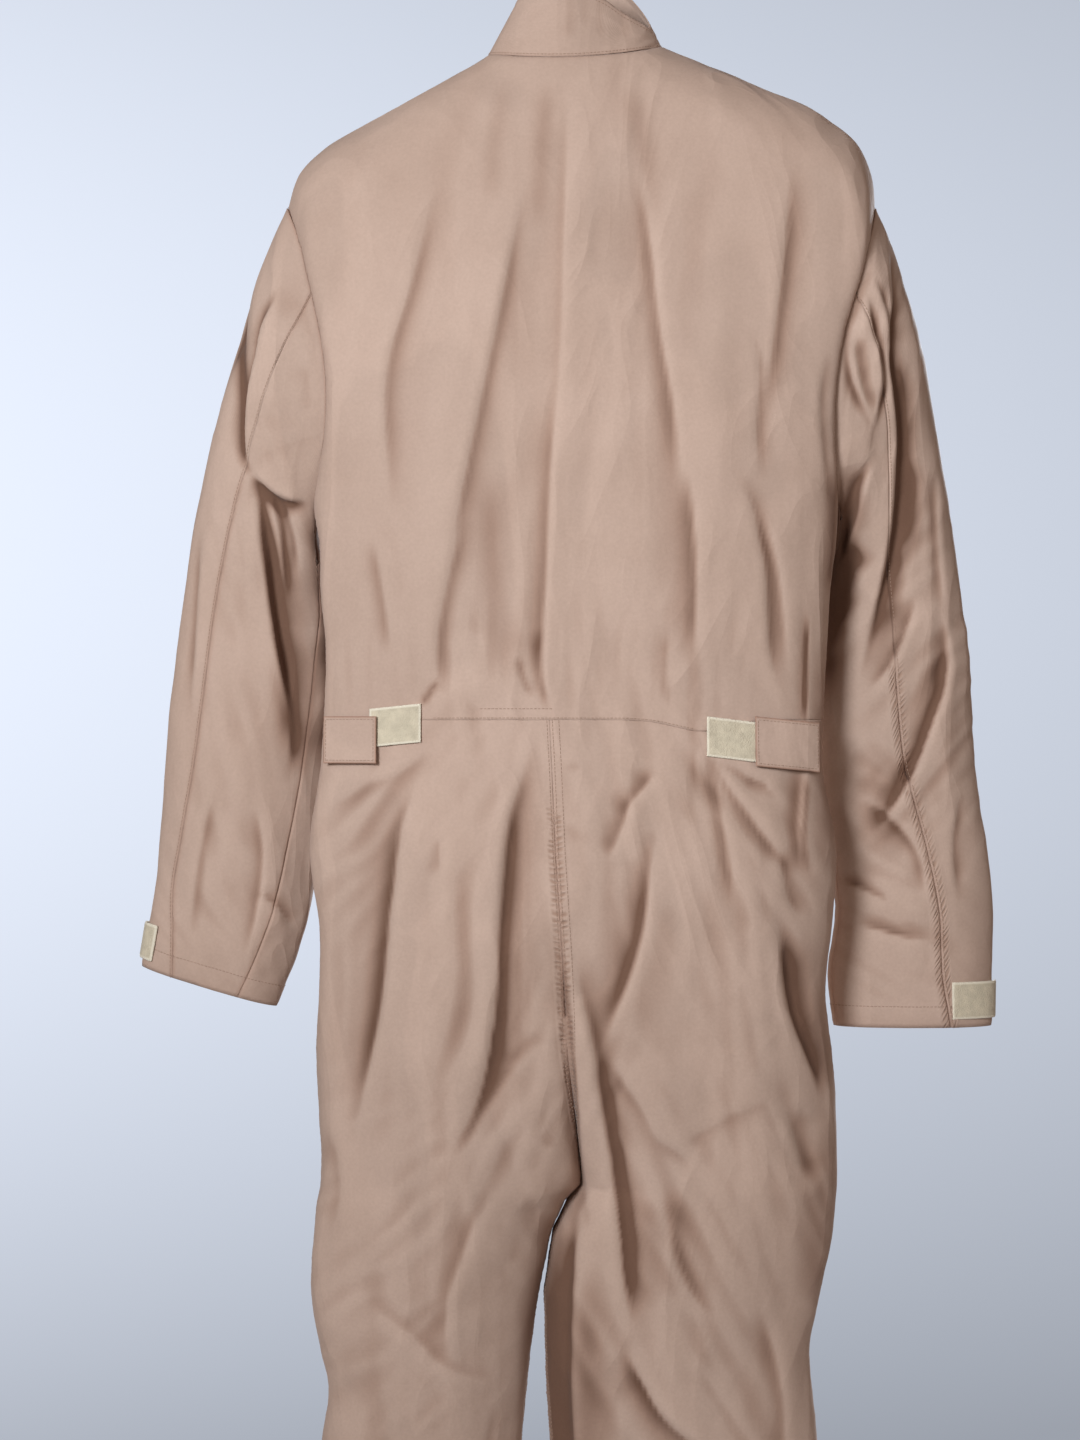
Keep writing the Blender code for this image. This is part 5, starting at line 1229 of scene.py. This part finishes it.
def seam_share(name, grid):
    """How strongly a panel's seams show: the top of the seat seam and of the sleeves' back
    seams lie smooth.
    """
    x, drop = grid[..., 0], -grid[..., 2]
    if name.startswith("trouser_back"):
        return 1 - 0.85 * np.exp(-((x + 12) / 40) ** 4) * (1 - ramp(670, 740, drop))
    if name.startswith("sleeve_left"):
        return 1 - 0.9 * np.exp(-((x + 252) / 26) ** 4) * band(300, 315, 425, 450, drop)
    if name.startswith("sleeve_right"):
        return 0.3 + 0.7 * ramp(570, 610, drop)
    return np.ones(x.shape)


def fold_panels(panels):
    """Adds each panel's folds, wrinkles and seams along its shared normals.

    Laps and swells fade from the back round to the front of a sleeve and of the collar,
    and every fold dies out at the borders that the panel names as calm.
    """
    for name, panel in panels.items():
        panel["sign"] = outward_sign(name, panel["grid"])
        panel["normal"] = grid_normals(panel["grid"], panel["sign"])
    share_normals(panels)
    for name, panel in panels.items():
        grid = panel["grid"]
        reach = panel["reach"] = reach_in(grid)
        facing = panel["normal"][..., 1]
        behind = {"sleeve": ramp(0.35, -0.1, facing), "collar": ramp(0.2, -0.4, facing)}.get(
            name.split("_")[0], 1.0)
        height = (lap_height(grid, panel["laps"]) + swell_height(grid, panel["swells"])) * behind
        height = height + patch_height(grid, panel["patches"])
        for border in panel["calm"]:
            height = height * ramp(0, CALM_REACH, reach[border])
        if name.startswith("trouser_back"):
            below = ramp(CROTCH_DROP - 25, CROTCH_DROP, -grid[..., 2])
            height = height * (1 - below * (1 - ramp(0, CALM_REACH, reach["last_col"])))
        # painted shade for the cloth's colour: darker at the foot of laps, in deep places and in
        # hollows, lighter on crests, and less of it near the seat seam
        shade = lap_shade(grid, panel["laps"]) * behind + deep_shade(grid, panel["shades"])
        panel["hollow"] = np.where(panel["folded"], 0.0, hollowness(height)) + shade
        if name.startswith("trouser_back"):
            panel["hollow"] *= 0.35 + 0.65 * ramp(3, 10, reach["last_col"])
        if name != "collar":
            height = height + wrinkles(grid)
        panel["seam_share"] = seam_share(name, grid)
        height = height + seam_relief(reach, panel["seams"]) * panel["seam_share"]
        height = np.where(panel["folded"], 0.0, height)
        panel["surface"] = grid + panel["normal"] * height[..., None]


# ---- meshes
def quad_mesh(name, points, quads, rounded_faces=False):
    """A mesh of four-cornered faces between points in mm."""
    mesh = bpy.data.meshes.new(name)
    mesh.vertices.add(len(points))
    mesh.vertices.foreach_set("co", (points * MM).astype(np.float32).ravel())
    mesh.loops.add(quads.size)
    mesh.loops.foreach_set("vertex_index", quads.astype(np.int32).ravel())
    mesh.polygons.add(len(quads))
    mesh.polygons.foreach_set("loop_start", np.arange(0, quads.size, 4, dtype=np.int32))
    if rounded_faces:
        mesh.polygons.foreach_set("use_smooth", np.ones(len(quads), bool))
    mesh.update(calc_edges=True)
    return mesh


def grid_mesh(name, surface, sign, flat=None):
    """A quad mesh over a grid in mm, with a UV map in metres along the cloth."""
    number = np.arange(surface[..., 0].size).reshape(surface.shape[:2])
    quads = np.stack([number[:-1, :-1], number[:-1, 1:], number[1:, 1:], number[1:, :-1]], axis=-1)
    quads = quads.reshape(-1, 4)[:, ::sign]
    mesh = quad_mesh(name, surface.reshape(-1, 3), quads, rounded_faces=True)
    reach = flat or reach_in(surface)
    uv = np.stack([reach["first_col"] - reach["first_col"].mean(0), reach["first_row"]], axis=-1)
    layer = mesh.uv_layers.new(name="cloth")
    corners = uv.reshape(-1, 2)[quads.ravel()] * MM
    layer.data.foreach_set("uv", corners.astype(np.float32).ravel())
    return mesh


def put_attributes(mesh, **values):
    """Gives a mesh one number a point under each name."""
    for name, value in values.items():
        layer = mesh.attributes.new(name, "FLOAT", "POINT")
        layer.data.foreach_set("value", value.astype(np.float32).ravel())


def add_piece(name, mesh, mat, node=None, wall=0.0):
    """Puts a mesh on the suit's body, in place of a solid, with its wall grown inwards."""
    obj = bpy.data.objects.new(name, mesh)
    bpy.context.scene.collection.objects.link(obj)
    mesh.materials.append(mat)
    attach(obj, "suit")
    if node:
        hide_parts(node)
    if wall:
        solid = obj.modifiers.new("wall", "SOLIDIFY")
        solid.thickness, solid.offset, solid.use_rim = wall * MM, -1, True
    return obj


def sheet(obj, grid):
    """Measures a piece's longest row and column laid straight; nothing is kept of them.
    """
    wide, long = (padded_steps(g).sum(0).max() * MM for g in (grid.swapaxes(0, 1), grid))


def add_cloth_panel(name, panel, mat):
    """A panel's cloth, carrying its seam tint, its painted shade and highlight, and its puckers.
    """
    mesh = grid_mesh(name + "_cloth", panel["surface"], panel["sign"], panel["reach"])
    put_attributes(mesh, seam=seam_tint_of(panel), hollow=panel["hollow"], pucker=pucker_of(panel))
    obj = add_piece(name + "_cloth", mesh, mat, name, CLOTH)
    sheet(obj, panel["grid"])


def rest_on(x, drop, panels, names):
    """y of a piece laid on the back: the highest of the cloth's points, each seen as the top
    of a round hill of REST_RADIUS, so that the piece bridges hollows and clears ridges.
    """
    cloud = np.concatenate([panels[n]["surface"].reshape(-1, 3) for n in names])
    for axis, at in ((0, x), (2, -drop)):
        cloud = cloud[(cloud[:, axis] > at.min() - 12) & (cloud[:, axis] < at.max() + 12)]
    gap = (x[..., None] - cloud[:, 0]) ** 2 + (drop[..., None] + cloud[:, 2]) ** 2
    return (cloud[:, 1] + gap / (2 * REST_RADIUS)).min(-1)


def crowned(shape):
    """By how much a laid piece sinks near its border: a bell over its rows and columns."""
    r, c = (np.minimum(np.arange(n), np.arange(n)[::-1]) for n in shape)
    return EDGE_FALL * np.exp(-(np.minimum.outer(r, c) / 1.1) ** 2)


def add_laid(name, grid, wall, mat, node):
    """A laid piece's mesh, facing out of the suit, with its woven rim marked near the border."""
    out = np.array([grid[5, 5, 0] / 300, -1.0, 0.0])
    mesh = grid_mesh(name, grid, 1 if grid_normals(grid, 1)[5, 5] @ out > 0 else -1)
    nearest = np.minimum.reduce(list(reach_in(grid).values()))
    put_attributes(mesh, rim=1 - ramp(1.4, 2.4, nearest), seam=np.exp(-(nearest / 1.2) ** 2))
    sheet(add_piece(name, mesh, mat, node, wall), grid)


def add_waist_piece(name, piece, panels, lift, wall, mat, node):
    """A tape or strap on the back; lift gives its height off the cloth at its two ends."""
    x, drop = np.meshgrid(np.linspace(*piece["x"], 65), np.linspace(*piece["drop"], 45))
    drop = drop + piece["slope"] * (x - piece["x"][0])
    y = rest_on(x, drop, panels, ("back_bodice", "trouser_back_left", "trouser_back_right"))
    height = np.interp(x, piece["x"], lift) + wall - crowned(x.shape)
    grid = np.stack([x, y - height, -drop], axis=-1)
    add_laid(name, grid, wall, mat, node)
    return grid


def add_cuff_tab(side, mat):
    """A cuff tab: a patch of the sleeve's own rings, lifted off the cloth."""
    tab = CUFF_TABS[side]
    angles = np.linspace(*tab["angles"], 61)
    drops = SLEEVE[side][-1][0] - np.linspace(*tab["above_edge"][::-1], 41)
    grid = np.array([sleeve_ring(side, d, angles) for d in drops])
    away = (grid - sleeve_ring(side, drops[20], np.arange(0, 360, 10)).mean(0)) * (1, 1, 0)
    normal = grid_normals(grid, 1)
    normal *= np.sign((normal * away).sum(-1, keepdims=True))
    grid = grid + normal * (TAB_LIFT + TAPE_WALL - crowned(grid.shape[:2]))[..., None]
    add_laid(f"cuff_tab_{side}_tape", grid, TAPE_WALL, mat, f"cuff_tab_{side}")


def line_on(panel, border, depth):
    """Points and normals of the line at a depth from a panel's border, along that border."""
    reach, surface, normal = panel["reach"][border], panel["surface"], panel["normal"]
    if border.endswith("row"):
        reach, surface, normal = reach.T, surface.swapaxes(0, 1), normal.swapaxes(0, 1)
    if border.startswith("last"):
        reach, surface, normal = reach[:, ::-1], surface[:, ::-1], normal[:, ::-1]
    i = np.clip((reach < depth).sum(1), 1, reach.shape[1] - 1)
    k = np.arange(len(i))
    t = np.clip((depth - reach[k, i - 1]) / (reach[k, i] - reach[k, i - 1]), 0, 1)[:, None]
    return surface[k, i - 1] * (1 - t) + surface[k, i] * t, normal[k, i]


def spaced(points, normals, pitch):
    """Places along a line at an even pitch: middles, directions and normals."""
    run = run_along(points)
    at = np.arange(pitch / 2, run[-1], pitch)
    along = unit(points_at(at + 0.5, run, points) - points_at(at - 0.5, run, points))
    up = points_at(at, run, normals)
    up -= along * (up * along).sum(-1, keepdims=True)
    return points_at(at, run, points), along, unit(up)


def blocks_mesh(name, places, size):
    """Many small chamfered blocks, one at each place, lying along its direction."""
    middle, along, up = (np.concatenate(part)[:, None] for part in zip(*places))
    length, width, height = size
    corner = BLOCK_CORNERS[None, :, :, None]
    spot = (middle + corner[:, :, 0] * along * length / 2
            + corner[:, :, 1] * np.cross(up, along) * width / 2
            + (corner[:, :, 2] * height - BLOCK_SINK) * up)
    faces = BLOCK_FACES[None] + 8 * np.arange(len(middle))[:, None, None]
    return quad_mesh(name, spot.reshape(-1, 3), faces.reshape(-1, 4))


def add_stitches(panels, laid, mat):
    """Rows of stitches beside the seams, along the hems and round the laid pieces."""
    for name, rows in STITCH_ROWS.items():
        places = []
        for panel, border, depth, *limits in rows:
            low, high = limits or (-math.inf, math.inf)
            for own in dict.fromkeys(panel.replace("*", side) for side in SIGN):
                spots = spaced(*line_on(panels[own], border, depth), STITCH_PITCH)
                keep = (spots[0][:, 0] > low) & (spots[0][:, 0] < high)
                places.append([part[keep] for part in spots])
        add_piece(name, blocks_mesh(name, places, STITCH), mat)
    places = []
    for grid in laid:
        normal = grid_normals(grid, 1)
        normal *= np.sign(-normal[..., 1:2])
        panel = {"surface": grid, "normal": normal, "reach": reach_in(grid)}
        for border in BORDERS:
            points, normals = line_on(panel, border, STRAP_STITCH_IN)
            places.append(spaced(points[3:-3], normals[3:-3], STITCH_PITCH))
    add_piece("stitches_straps", blocks_mesh("stitches_straps", places, STITCH), mat)


def zip_edges(panels, side):
    """A front's edge beside the zip, from the neck down, and a line a little inside it."""
    last = int(np.searchsorted(lower_rows(), ZIP_TIP_DROP))
    halves = (panels[f"front_bodice_{side}"], panels[f"trouser_front_{side}"])
    edges = [half["surface"][:, -1] for half in halves]
    insides = [line_on(half, "last_col", ZIP_UNDER)[0] for half in halves]
    return [np.concatenate([above[::-1], below[1:last]]) for above, below in (edges, insides)]


def add_zip(panels, cloth, metal):
    """Two zip tapes, sewn a little under the fronts' edges, and their interlocked teeth.

    A tape's columns run from inside the edge to the edge and on to the middle between both.
    """
    edges = {side: zip_edges(panels, side) for side in SIGN}
    centre = (edges["left"][0] + edges["right"][0]) / 2
    places = []
    for half, side in enumerate(SIGN):
        edge, under = (line[:, None] for line in edges[side])
        share = np.linspace(0, 1, 5)[1:, None]
        grid = np.concatenate([under, edge, edge + (centre[:, None] - edge) * share], axis=1)
        sign = 1 if grid_normals(grid, 1)[20, 3, 1] > 0 else -1
        surface = grid - np.array([0, ZIP_SINK, 0])
        name = f"zip_tape_{side}"
        mesh = grid_mesh(name + "_cloth", surface, sign)
        sheet(add_piece(name + "_cloth", mesh, cloth, name, CLOTH), surface)
        middle, along, up = spaced(surface[:, -1], grid_normals(grid, sign)[:, -2], TOOTH_PITCH)
        across = np.cross(up, along)
        inward = -across * np.sign(across[:, :1]) * SIGN[side]
        middle = middle - inward * 1.1 + along * TOOTH_PITCH / 2 * half + up * 0.1
        places.append((middle, across, up))
    add_piece("zip_teeth", blocks_mesh("zip_teeth", places, TOOTH), metal)


def tube_mesh(name, points, wide, tall, sides):
    """A closed tube: ovals of half width and height carried along a path of points.

    Each oval's width lies along y; its height stands square to the path.
    """
    side = np.array([0.0, 1.0, 0.0])
    up = unit(np.cross(unit(np.gradient(points, axis=0)), side))[:, None]
    a = np.linspace(0, 2 * math.pi, sides, endpoint=False)[None, :, None]
    rings = (points[:, None] + np.cos(a) * side * wide[:, None, None]
             + np.sin(a) * up * tall[:, None, None])
    number = np.arange(rings.shape[0] * sides).reshape(-1, sides)
    after = np.roll(number, -1, axis=1)
    quads = np.stack([number[:-1], after[:-1], after[1:], number[1:]], axis=-1).reshape(-1, 4)
    mesh = bpy.data.meshes.new(name)
    faces = quads.tolist() + [number[0].tolist()[::-1], number[-1].tolist()]
    mesh.from_pydata((rings.reshape(-1, 3) * MM).tolist(), [], faces)
    mesh.polygons.foreach_set("use_smooth", np.ones(len(faces), bool))
    shape = bmesh.new()
    shape.from_mesh(mesh)
    bmesh.ops.recalc_face_normals(shape, faces=shape.faces)
    shape.to_mesh(mesh)
    shape.free()
    return mesh


def rounded_ends(count, cap):
    """Size along a tube: one in the middle, closing as a quarter circle at both ends."""
    i = np.arange(count)
    near = np.clip(np.minimum(i, i[::-1]) / cap, 0, 1)
    return 0.06 + 0.94 * np.sqrt(1 - (1 - near) ** 2)


def add_hanger(wood, steel):
    """The shaped bar under the shoulder seams and the wire hook that stands on it."""
    path = np.concatenate([shoulder_point("left", np.linspace(BAR_ENDS[0], 1.0, 60)),
                           shoulder_point("right", np.linspace(1.0, BAR_ENDS[1], 60))])
    points = points_at(np.linspace(0, len(path) - 1, 141), np.arange(len(path)),
                       path * (1, 1, -1) - (0, 1, 0))
    near_neck = 1 - ramp(70, 120, np.abs(points[:, 0] - NECK_X))
    points[:, 2] -= BAR_BELOW + BAR_NECK_DIP * near_neck
    for column in points.T:
        column[4:-4] = np.convolve(column, np.ones(9) / 9, "valid")
    size = rounded_ends(len(points), 7)
    mesh = tube_mesh("hanger_bar_wood", points, BAR_HALF_DEPTH * size * (1 - 0.35 * near_neck),
                     BAR_HALF_HEIGHT * size, 28)
    add_piece("hanger_bar_wood", mesh, wood, "hanger_bar")
    turn = np.radians(np.arange(-20, 206, 15))[:, None]
    radius = HOOK_INNER_RADIUS + WIRE_RADIUS
    crown = radius * np.concatenate([np.cos(turn), np.sin(turn)], axis=1)
    line = curved(np.concatenate([HOOK_STEM, crown - (0, HOOK_INNER_RADIUS)]), 130)
    points = np.stack([line[:, 0], 0 * line[:, 0], line[:, 1]], axis=-1)
    size = WIRE_RADIUS * rounded_ends(len(points), 2)
    mesh = tube_mesh("hanger_hook_wire", points, size, size, 20)
    add_piece("hanger_hook_wire", mesh, steel, "hanger_hook")


# ---- materials
class Finish:
    """A tree of nodes, for a material or the world, put together node by node."""

    def __init__(self, owner, shader="Principled BSDF"):
        owner.use_nodes = True
        self.owner, self.tree = owner, owner.node_tree
        self.shader = self.tree.nodes[shader]
        self.place = self.add("TexCoord")

    def feed(self, socket, value):
        """Gives a socket a plain value, or joins it to another node's output."""
        if isinstance(value, bpy.types.NodeSocket):
            self.tree.links.new(value, socket)
        else:
            socket.default_value = value

    def set(self, node, **inputs):
        """Feeds a node's named inputs, with an underscore for each space."""
        for name, value in inputs.items():
            self.feed(node.inputs[name.replace("_", " ")], value)

    def add(self, kind, *ordered, **values):
        """Adds a node and gives its outputs.

        Ordered values feed its first sockets, names in small letters are its settings and
        names with capitals its inputs.
        """
        node = self.tree.nodes.new("ShaderNode" + kind)
        for name in [n for n in values if n.islower()]:
            setattr(node, name, values.pop(name))
        for socket, value in zip(node.inputs, ordered):
            self.feed(socket, value)
        self.set(node, **values)
        return node.outputs

    def noise(self, **values):
        """Noise over the piece's own place unless another vector is given."""
        values.setdefault("Vector", self.place["Object"])
        return self.add("TexNoise", **values)["Fac"]

    def tone(self, share, *stops):
        """A colour ramp through stops of position and colour, from the first to the last."""
        node = self.tree.nodes.new("ShaderNodeValToRGB")
        elements = node.color_ramp.elements
        for element, (position, colour) in ((elements[0], stops[0]), (elements[1], stops[-1])):
            element.position, element.color = position, colour
        for position, colour in stops[1:-1]:
            elements.new(position).color = colour
        self.feed(node.inputs["Fac"], share)
        return node.outputs["Color"]

    def mix(self, share, one, other, blend="MIX"):
        """One colour turning into (or multiplied by) the other by a share."""
        return self.add("Mix", data_type="RGBA", blend_type=blend, Factor=share, A=one,
                        B=other)["Result"]

    def stretch(self, out, scale):
        """A place scaled along its axes."""
        return self.add("Mapping", Vector=self.place[out], Scale=scale)["Vector"]

    def spread(self, value, low, high):
        """Zero at low and one at high, straight between."""
        return self.add("MapRange", Value=value, From_Min=low, From_Max=high)["Result"]

    def maths(self, operation, *values):
        """One sum or product of its values."""
        return self.add("Math", *values, operation=operation)["Value"]

    def bump(self, height, strength, distance, **more):
        """Relief from a height, on top of another relief's normal where one is given."""
        return self.add("Bump", Height=height, Strength=strength, Distance=distance,
                        **more)["Normal"]


def new_finish(name):
    """An empty material of that name, ready for its nodes."""
    return Finish(bpy.data.materials.new(name))


def cloth_material(name, light, dark, seam_tint):
    """Plain-weave cloth: two close tans in soft blotches, a fine weave, darker seams.

    Hollows get a painted shade from their own attribute, which also leaves crests lighter, felled
    seams are pinched in slanted lines where a noise lets them, with painted shade in the pinches,
    and the crests of long creases get a painted highlight. The reliefs lie on each other: long
    creases, weave, crumples, pinches.
    """
    m = new_finish(name)
    seam, hollow, pucker = (m.add("Attribute", attribute_name=n)["Fac"]
                            for n in ("seam", "hollow", "pucker"))
    colour = m.tone(m.noise(Scale=11.0, Detail=5.0, Roughness=0.55), (0.35, dark), (0.65, light))
    colour = m.mix(0.16, colour, m.noise(Scale=420.0, Detail=3.0), "MULTIPLY")
    colour = m.mix(seam, colour, seam_tint)
    # painted shade and highlight: the colour darkens where hollow is high, in hollows and at the
    # foot of folds, and stays lighter on crests
    painted_shade_tone = m.tone(m.spread(hollow, -1.0, 1.0), (0.0, (1.0, 1.0, 1.0, 1)),
                     (0.5, (0.90, 0.885, 0.88, 1)), (0.72, (0.68, 0.61, 0.575, 1)),
                     (1.0, (0.30, 0.22, 0.18, 1)))
    colour = m.mix(1.0, colour, painted_shade_tone, "MULTIPLY")
    pinches = m.add("TexWave", bands_direction="DIAGONAL", Scale=1.0, Distortion=6.0, Detail=2.0,
                    Vector=m.stretch("UV", (110.0, 128.0, 1.0)))["Fac"]
    crumple = m.noise(Scale=90.0, Detail=4.0, Distortion=0.8)
    uneven = m.maths("MULTIPLY", pinches, m.spread(crumple, 0.30, 0.56))
    pinched = m.maths("MULTIPLY", uneven, pucker)
    # painted shade in the dips of the pinched seams
    colour = m.mix(pinched, colour, (0.76, 0.68, 0.63, 1), "MULTIPLY")
    creases = m.noise(noise_type="RIDGED_MULTIFRACTAL", Scale=10.0, Detail=2.0, Offset=1.0,
                      Gain=1.5, Distortion=0.6, Vector=m.stretch("Object", (1.0, 1.0, 0.42)))
    # painted highlight on the crests of the long creases
    colour = m.mix(m.spread(creases, 0.78, 0.98), colour, (1.06, 1.06, 1.06, 1), "MULTIPLY")
    warp = m.add("TexWave", wave_type="BANDS", bands_direction="DIAGONAL", Scale=0.5,
                 Distortion=1.2, Vector=m.stretch("UV", (1400.0, 1400.0, 1.0)))["Fac"]
    relief = m.bump(creases, 0.6, 0.004)
    relief = m.bump(warp, 0.25, 0.0002, Normal=relief)
    relief = m.bump(crumple, 0.25, 0.0008, Normal=relief)
    relief = m.bump(pinched, 0.8, 0.0009, Normal=relief, invert=True)
    m.set(m.shader, Base_Color=colour, Normal=relief, Roughness=0.8, Sheen_Weight=0.08,
          Sheen_Roughness=0.5, Specular_IOR_Level=0.15)
    return m.owner


def darker(colour, share):
    """A colour's channels times a share."""
    return tuple(share * c for c in colour[:3]) + (1,)


def tape_material(name, pile, rim):
    """Hook-and-loop tape: a woven rim, and in the middle a dense curled pile."""
    m = new_finish(name)
    curls = m.add("TexVoronoi", Scale=900.0, Vector=m.place["Object"])["Distance"]
    tone = m.tone(m.noise(Scale=160.0, Detail=5.0), (0.35, darker(pile, 0.82)), (0.7, pile))
    edge = m.add("Attribute", attribute_name="rim")["Fac"]
    m.set(m.shader, Base_Color=m.mix(edge, tone, rim), Normal=m.bump(curls, 0.7, 0.0006),
          Roughness=0.9, Sheen_Weight=0.3, Specular_IOR_Level=0.2)
    return m.owner


def thread_material(name, colour):
    """Sewing thread: twisted, seen as fine noise in its shade."""
    m = new_finish(name)
    twist = m.noise(Scale=1500.0)
    m.set(m.shader, Base_Color=m.tone(twist, (0.0, darker(colour, 0.7)), (1.0, colour)),
          Roughness=0.7)
    return m.owner


def metal_material(name, colour, roughness, scratch):
    """Metal with fine scratches in its roughness."""
    m = new_finish(name)
    marks = m.add("MapRange", Value=m.noise(Scale=600.0, Detail=4.0), To_Min=roughness,
                  To_Max=roughness + scratch)["Result"]
    m.set(m.shader, Base_Color=colour, Metallic=1.0, Roughness=marks)
    return m.owner


def wood_material(name, light, dark):
    """Varnished wood: long streaks along x."""
    m = new_finish(name)
    streak = m.noise(Scale=1.0, Detail=6.0, Vector=m.stretch("Object", (12.0, 160.0, 160.0)))
    m.set(m.shader, Base_Color=m.tone(streak, (0.3, dark), (0.7, light)), Roughness=0.4,
          Coat_Weight=0.4, Coat_Roughness=0.2)
    return m.owner


# ---- camera, light and floor
def place_in_scene(name, data, place):
    """An object holding that data at a place."""
    obj = bpy.data.objects.new(name, data)
    obj.location = place
    bpy.context.scene.collection.objects.link(obj)
    return obj


def add_camera():
    """A level camera behind the suit's back."""
    cam = bpy.data.cameras.new("camera")
    cam.sensor_fit, cam.sensor_height, cam.lens = "VERTICAL", SENSOR, LENS
    obj = place_in_scene("camera", cam, CAMERA_PLACE)
    obj.rotation_euler = (math.radians(90), 0, 0)
    bpy.context.scene.camera = obj


def add_area(name, place, target, size, energy, colour, spread=180):
    """A round soft light at a place, aimed at a target."""
    light = bpy.data.lights.new(name, "AREA")
    light.shape, light.size, light.spread = "DISK", size, math.radians(spread)
    light.energy, light.color = energy, colour
    aim = (Vector(target) - Vector(place)).to_track_quat("-Z", "Y")
    place_in_scene(name, light, place).rotation_euler = aim.to_euler()


def add_world():
    """A pale world, brighter up and to the left, that the camera sees as a plain pale wall.

    Its strength is (0.71 + 0.4 z - 2.5 z^2) (1 - 0.74 x), held between two bounds.
    """
    world = bpy.context.scene.world = bpy.data.worlds.new("studio")
    w = Finish(world, "Background")
    split = w.add("SeparateXYZ", w.place["Generated"])
    z = split["Z"]
    upright = w.maths("MULTIPLY_ADD", w.maths("MULTIPLY_ADD", z, -2.5, 0.4), z, 0.71)
    sideways = w.maths("MULTIPLY_ADD", split["X"], -0.74, 1.0)
    strength = w.maths("MINIMUM", w.maths("MULTIPLY", upright, sideways), 0.86)
    w.set(w.shader, Color=(0.98, 1.055, 1.21, 1), Strength=w.maths("MAXIMUM", strength, 0.34))
    room = w.add("Background", Color=(1.20, 0.96, 0.82, 1), Strength=0.20)["Background"]
    seen = w.add("LightPath")["Is Camera Ray"]
    both = w.add("MixShader", seen, room, w.shader.outputs["Background"])["Shader"]
    w.set(w.tree.nodes["World Output"], Surface=both)


def add_surroundings():
    """The world, soft lights, and a pale floor disc below the suit."""
    add_world()
    for light in LIGHTS:
        add_area(*light)
    mesh = bpy.data.meshes.new("floor")
    shape = bmesh.new()
    bmesh.ops.create_circle(shape, cap_ends=True, segments=96, radius=FLOOR_RADIUS)
    bmesh.ops.translate(shape, verts=shape.verts, vec=(0, 0, FLOOR_LEVEL))
    shape.to_mesh(mesh)
    shape.free()
    pale = new_finish("pale floor")
    pale.set(pale.shader, Base_Color=(0.74, 0.76, 0.80, 1), Roughness=0.7)
    mesh.materials.append(pale.owner)
    place_in_scene("floor", mesh, (0, 0, 0))
    bpy.context.scene.view_settings.view_transform = "Standard"


def main():
    """Builds the looks: surroundings, cloth, laid pieces, stitches, zip and hanger."""
    add_camera()
    add_surroundings()
    cloth = cloth_material("tan cloth", (0.560, 0.408, 0.328, 1), (0.520, 0.374, 0.297, 1),
                           (0.36, 0.205, 0.145, 1))
    tape = tape_material("hook and loop tape", (0.60, 0.52, 0.385, 1), (0.70, 0.63, 0.50, 1))
    thread = thread_material("tan thread", (0.36, 0.23, 0.165, 1))
    brass = metal_material("zip metal", (0.55, 0.42, 0.20, 1), 0.32, 0.2)
    steel = metal_material("hook steel", (0.55, 0.55, 0.56, 1), 0.22, 0.15)
    wood = wood_material("hanger wood", (0.46, 0.30, 0.16, 1), (0.33, 0.20, 0.10, 1))
    panels = cloth_panels()
    fold_panels(panels)
    for name, panel in panels.items():
        add_cloth_panel(name, panel, cloth)
    laid = []
    over = LAID_GAP + TAPE_WALL + LAID_GAP
    for side, ends_up in (("left", (1.0, over + 1.2)), ("right", (over, 2.0))):
        add_waist_piece(f"waist_tape_{side}_pile", WAIST_TAPES[side], panels, (LAID_GAP, LAID_GAP),
                        TAPE_WALL, tape, f"waist_tape_{side}")
        laid.append(add_waist_piece(f"waist_strap_{side}_cloth", WAIST_STRAPS[side], panels,
                                    ends_up, STRAP_WALL, cloth, f"waist_strap_{side}"))
        add_cuff_tab(side, tape)
    add_stitches(panels, laid, thread)
    add_zip(panels, cloth, brass)
    add_hanger(wood, steel)
    for node in ("zip_slider", "zip_pull"):
        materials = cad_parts[node].data.materials
        materials.clear()
        materials.append(brass)


main()
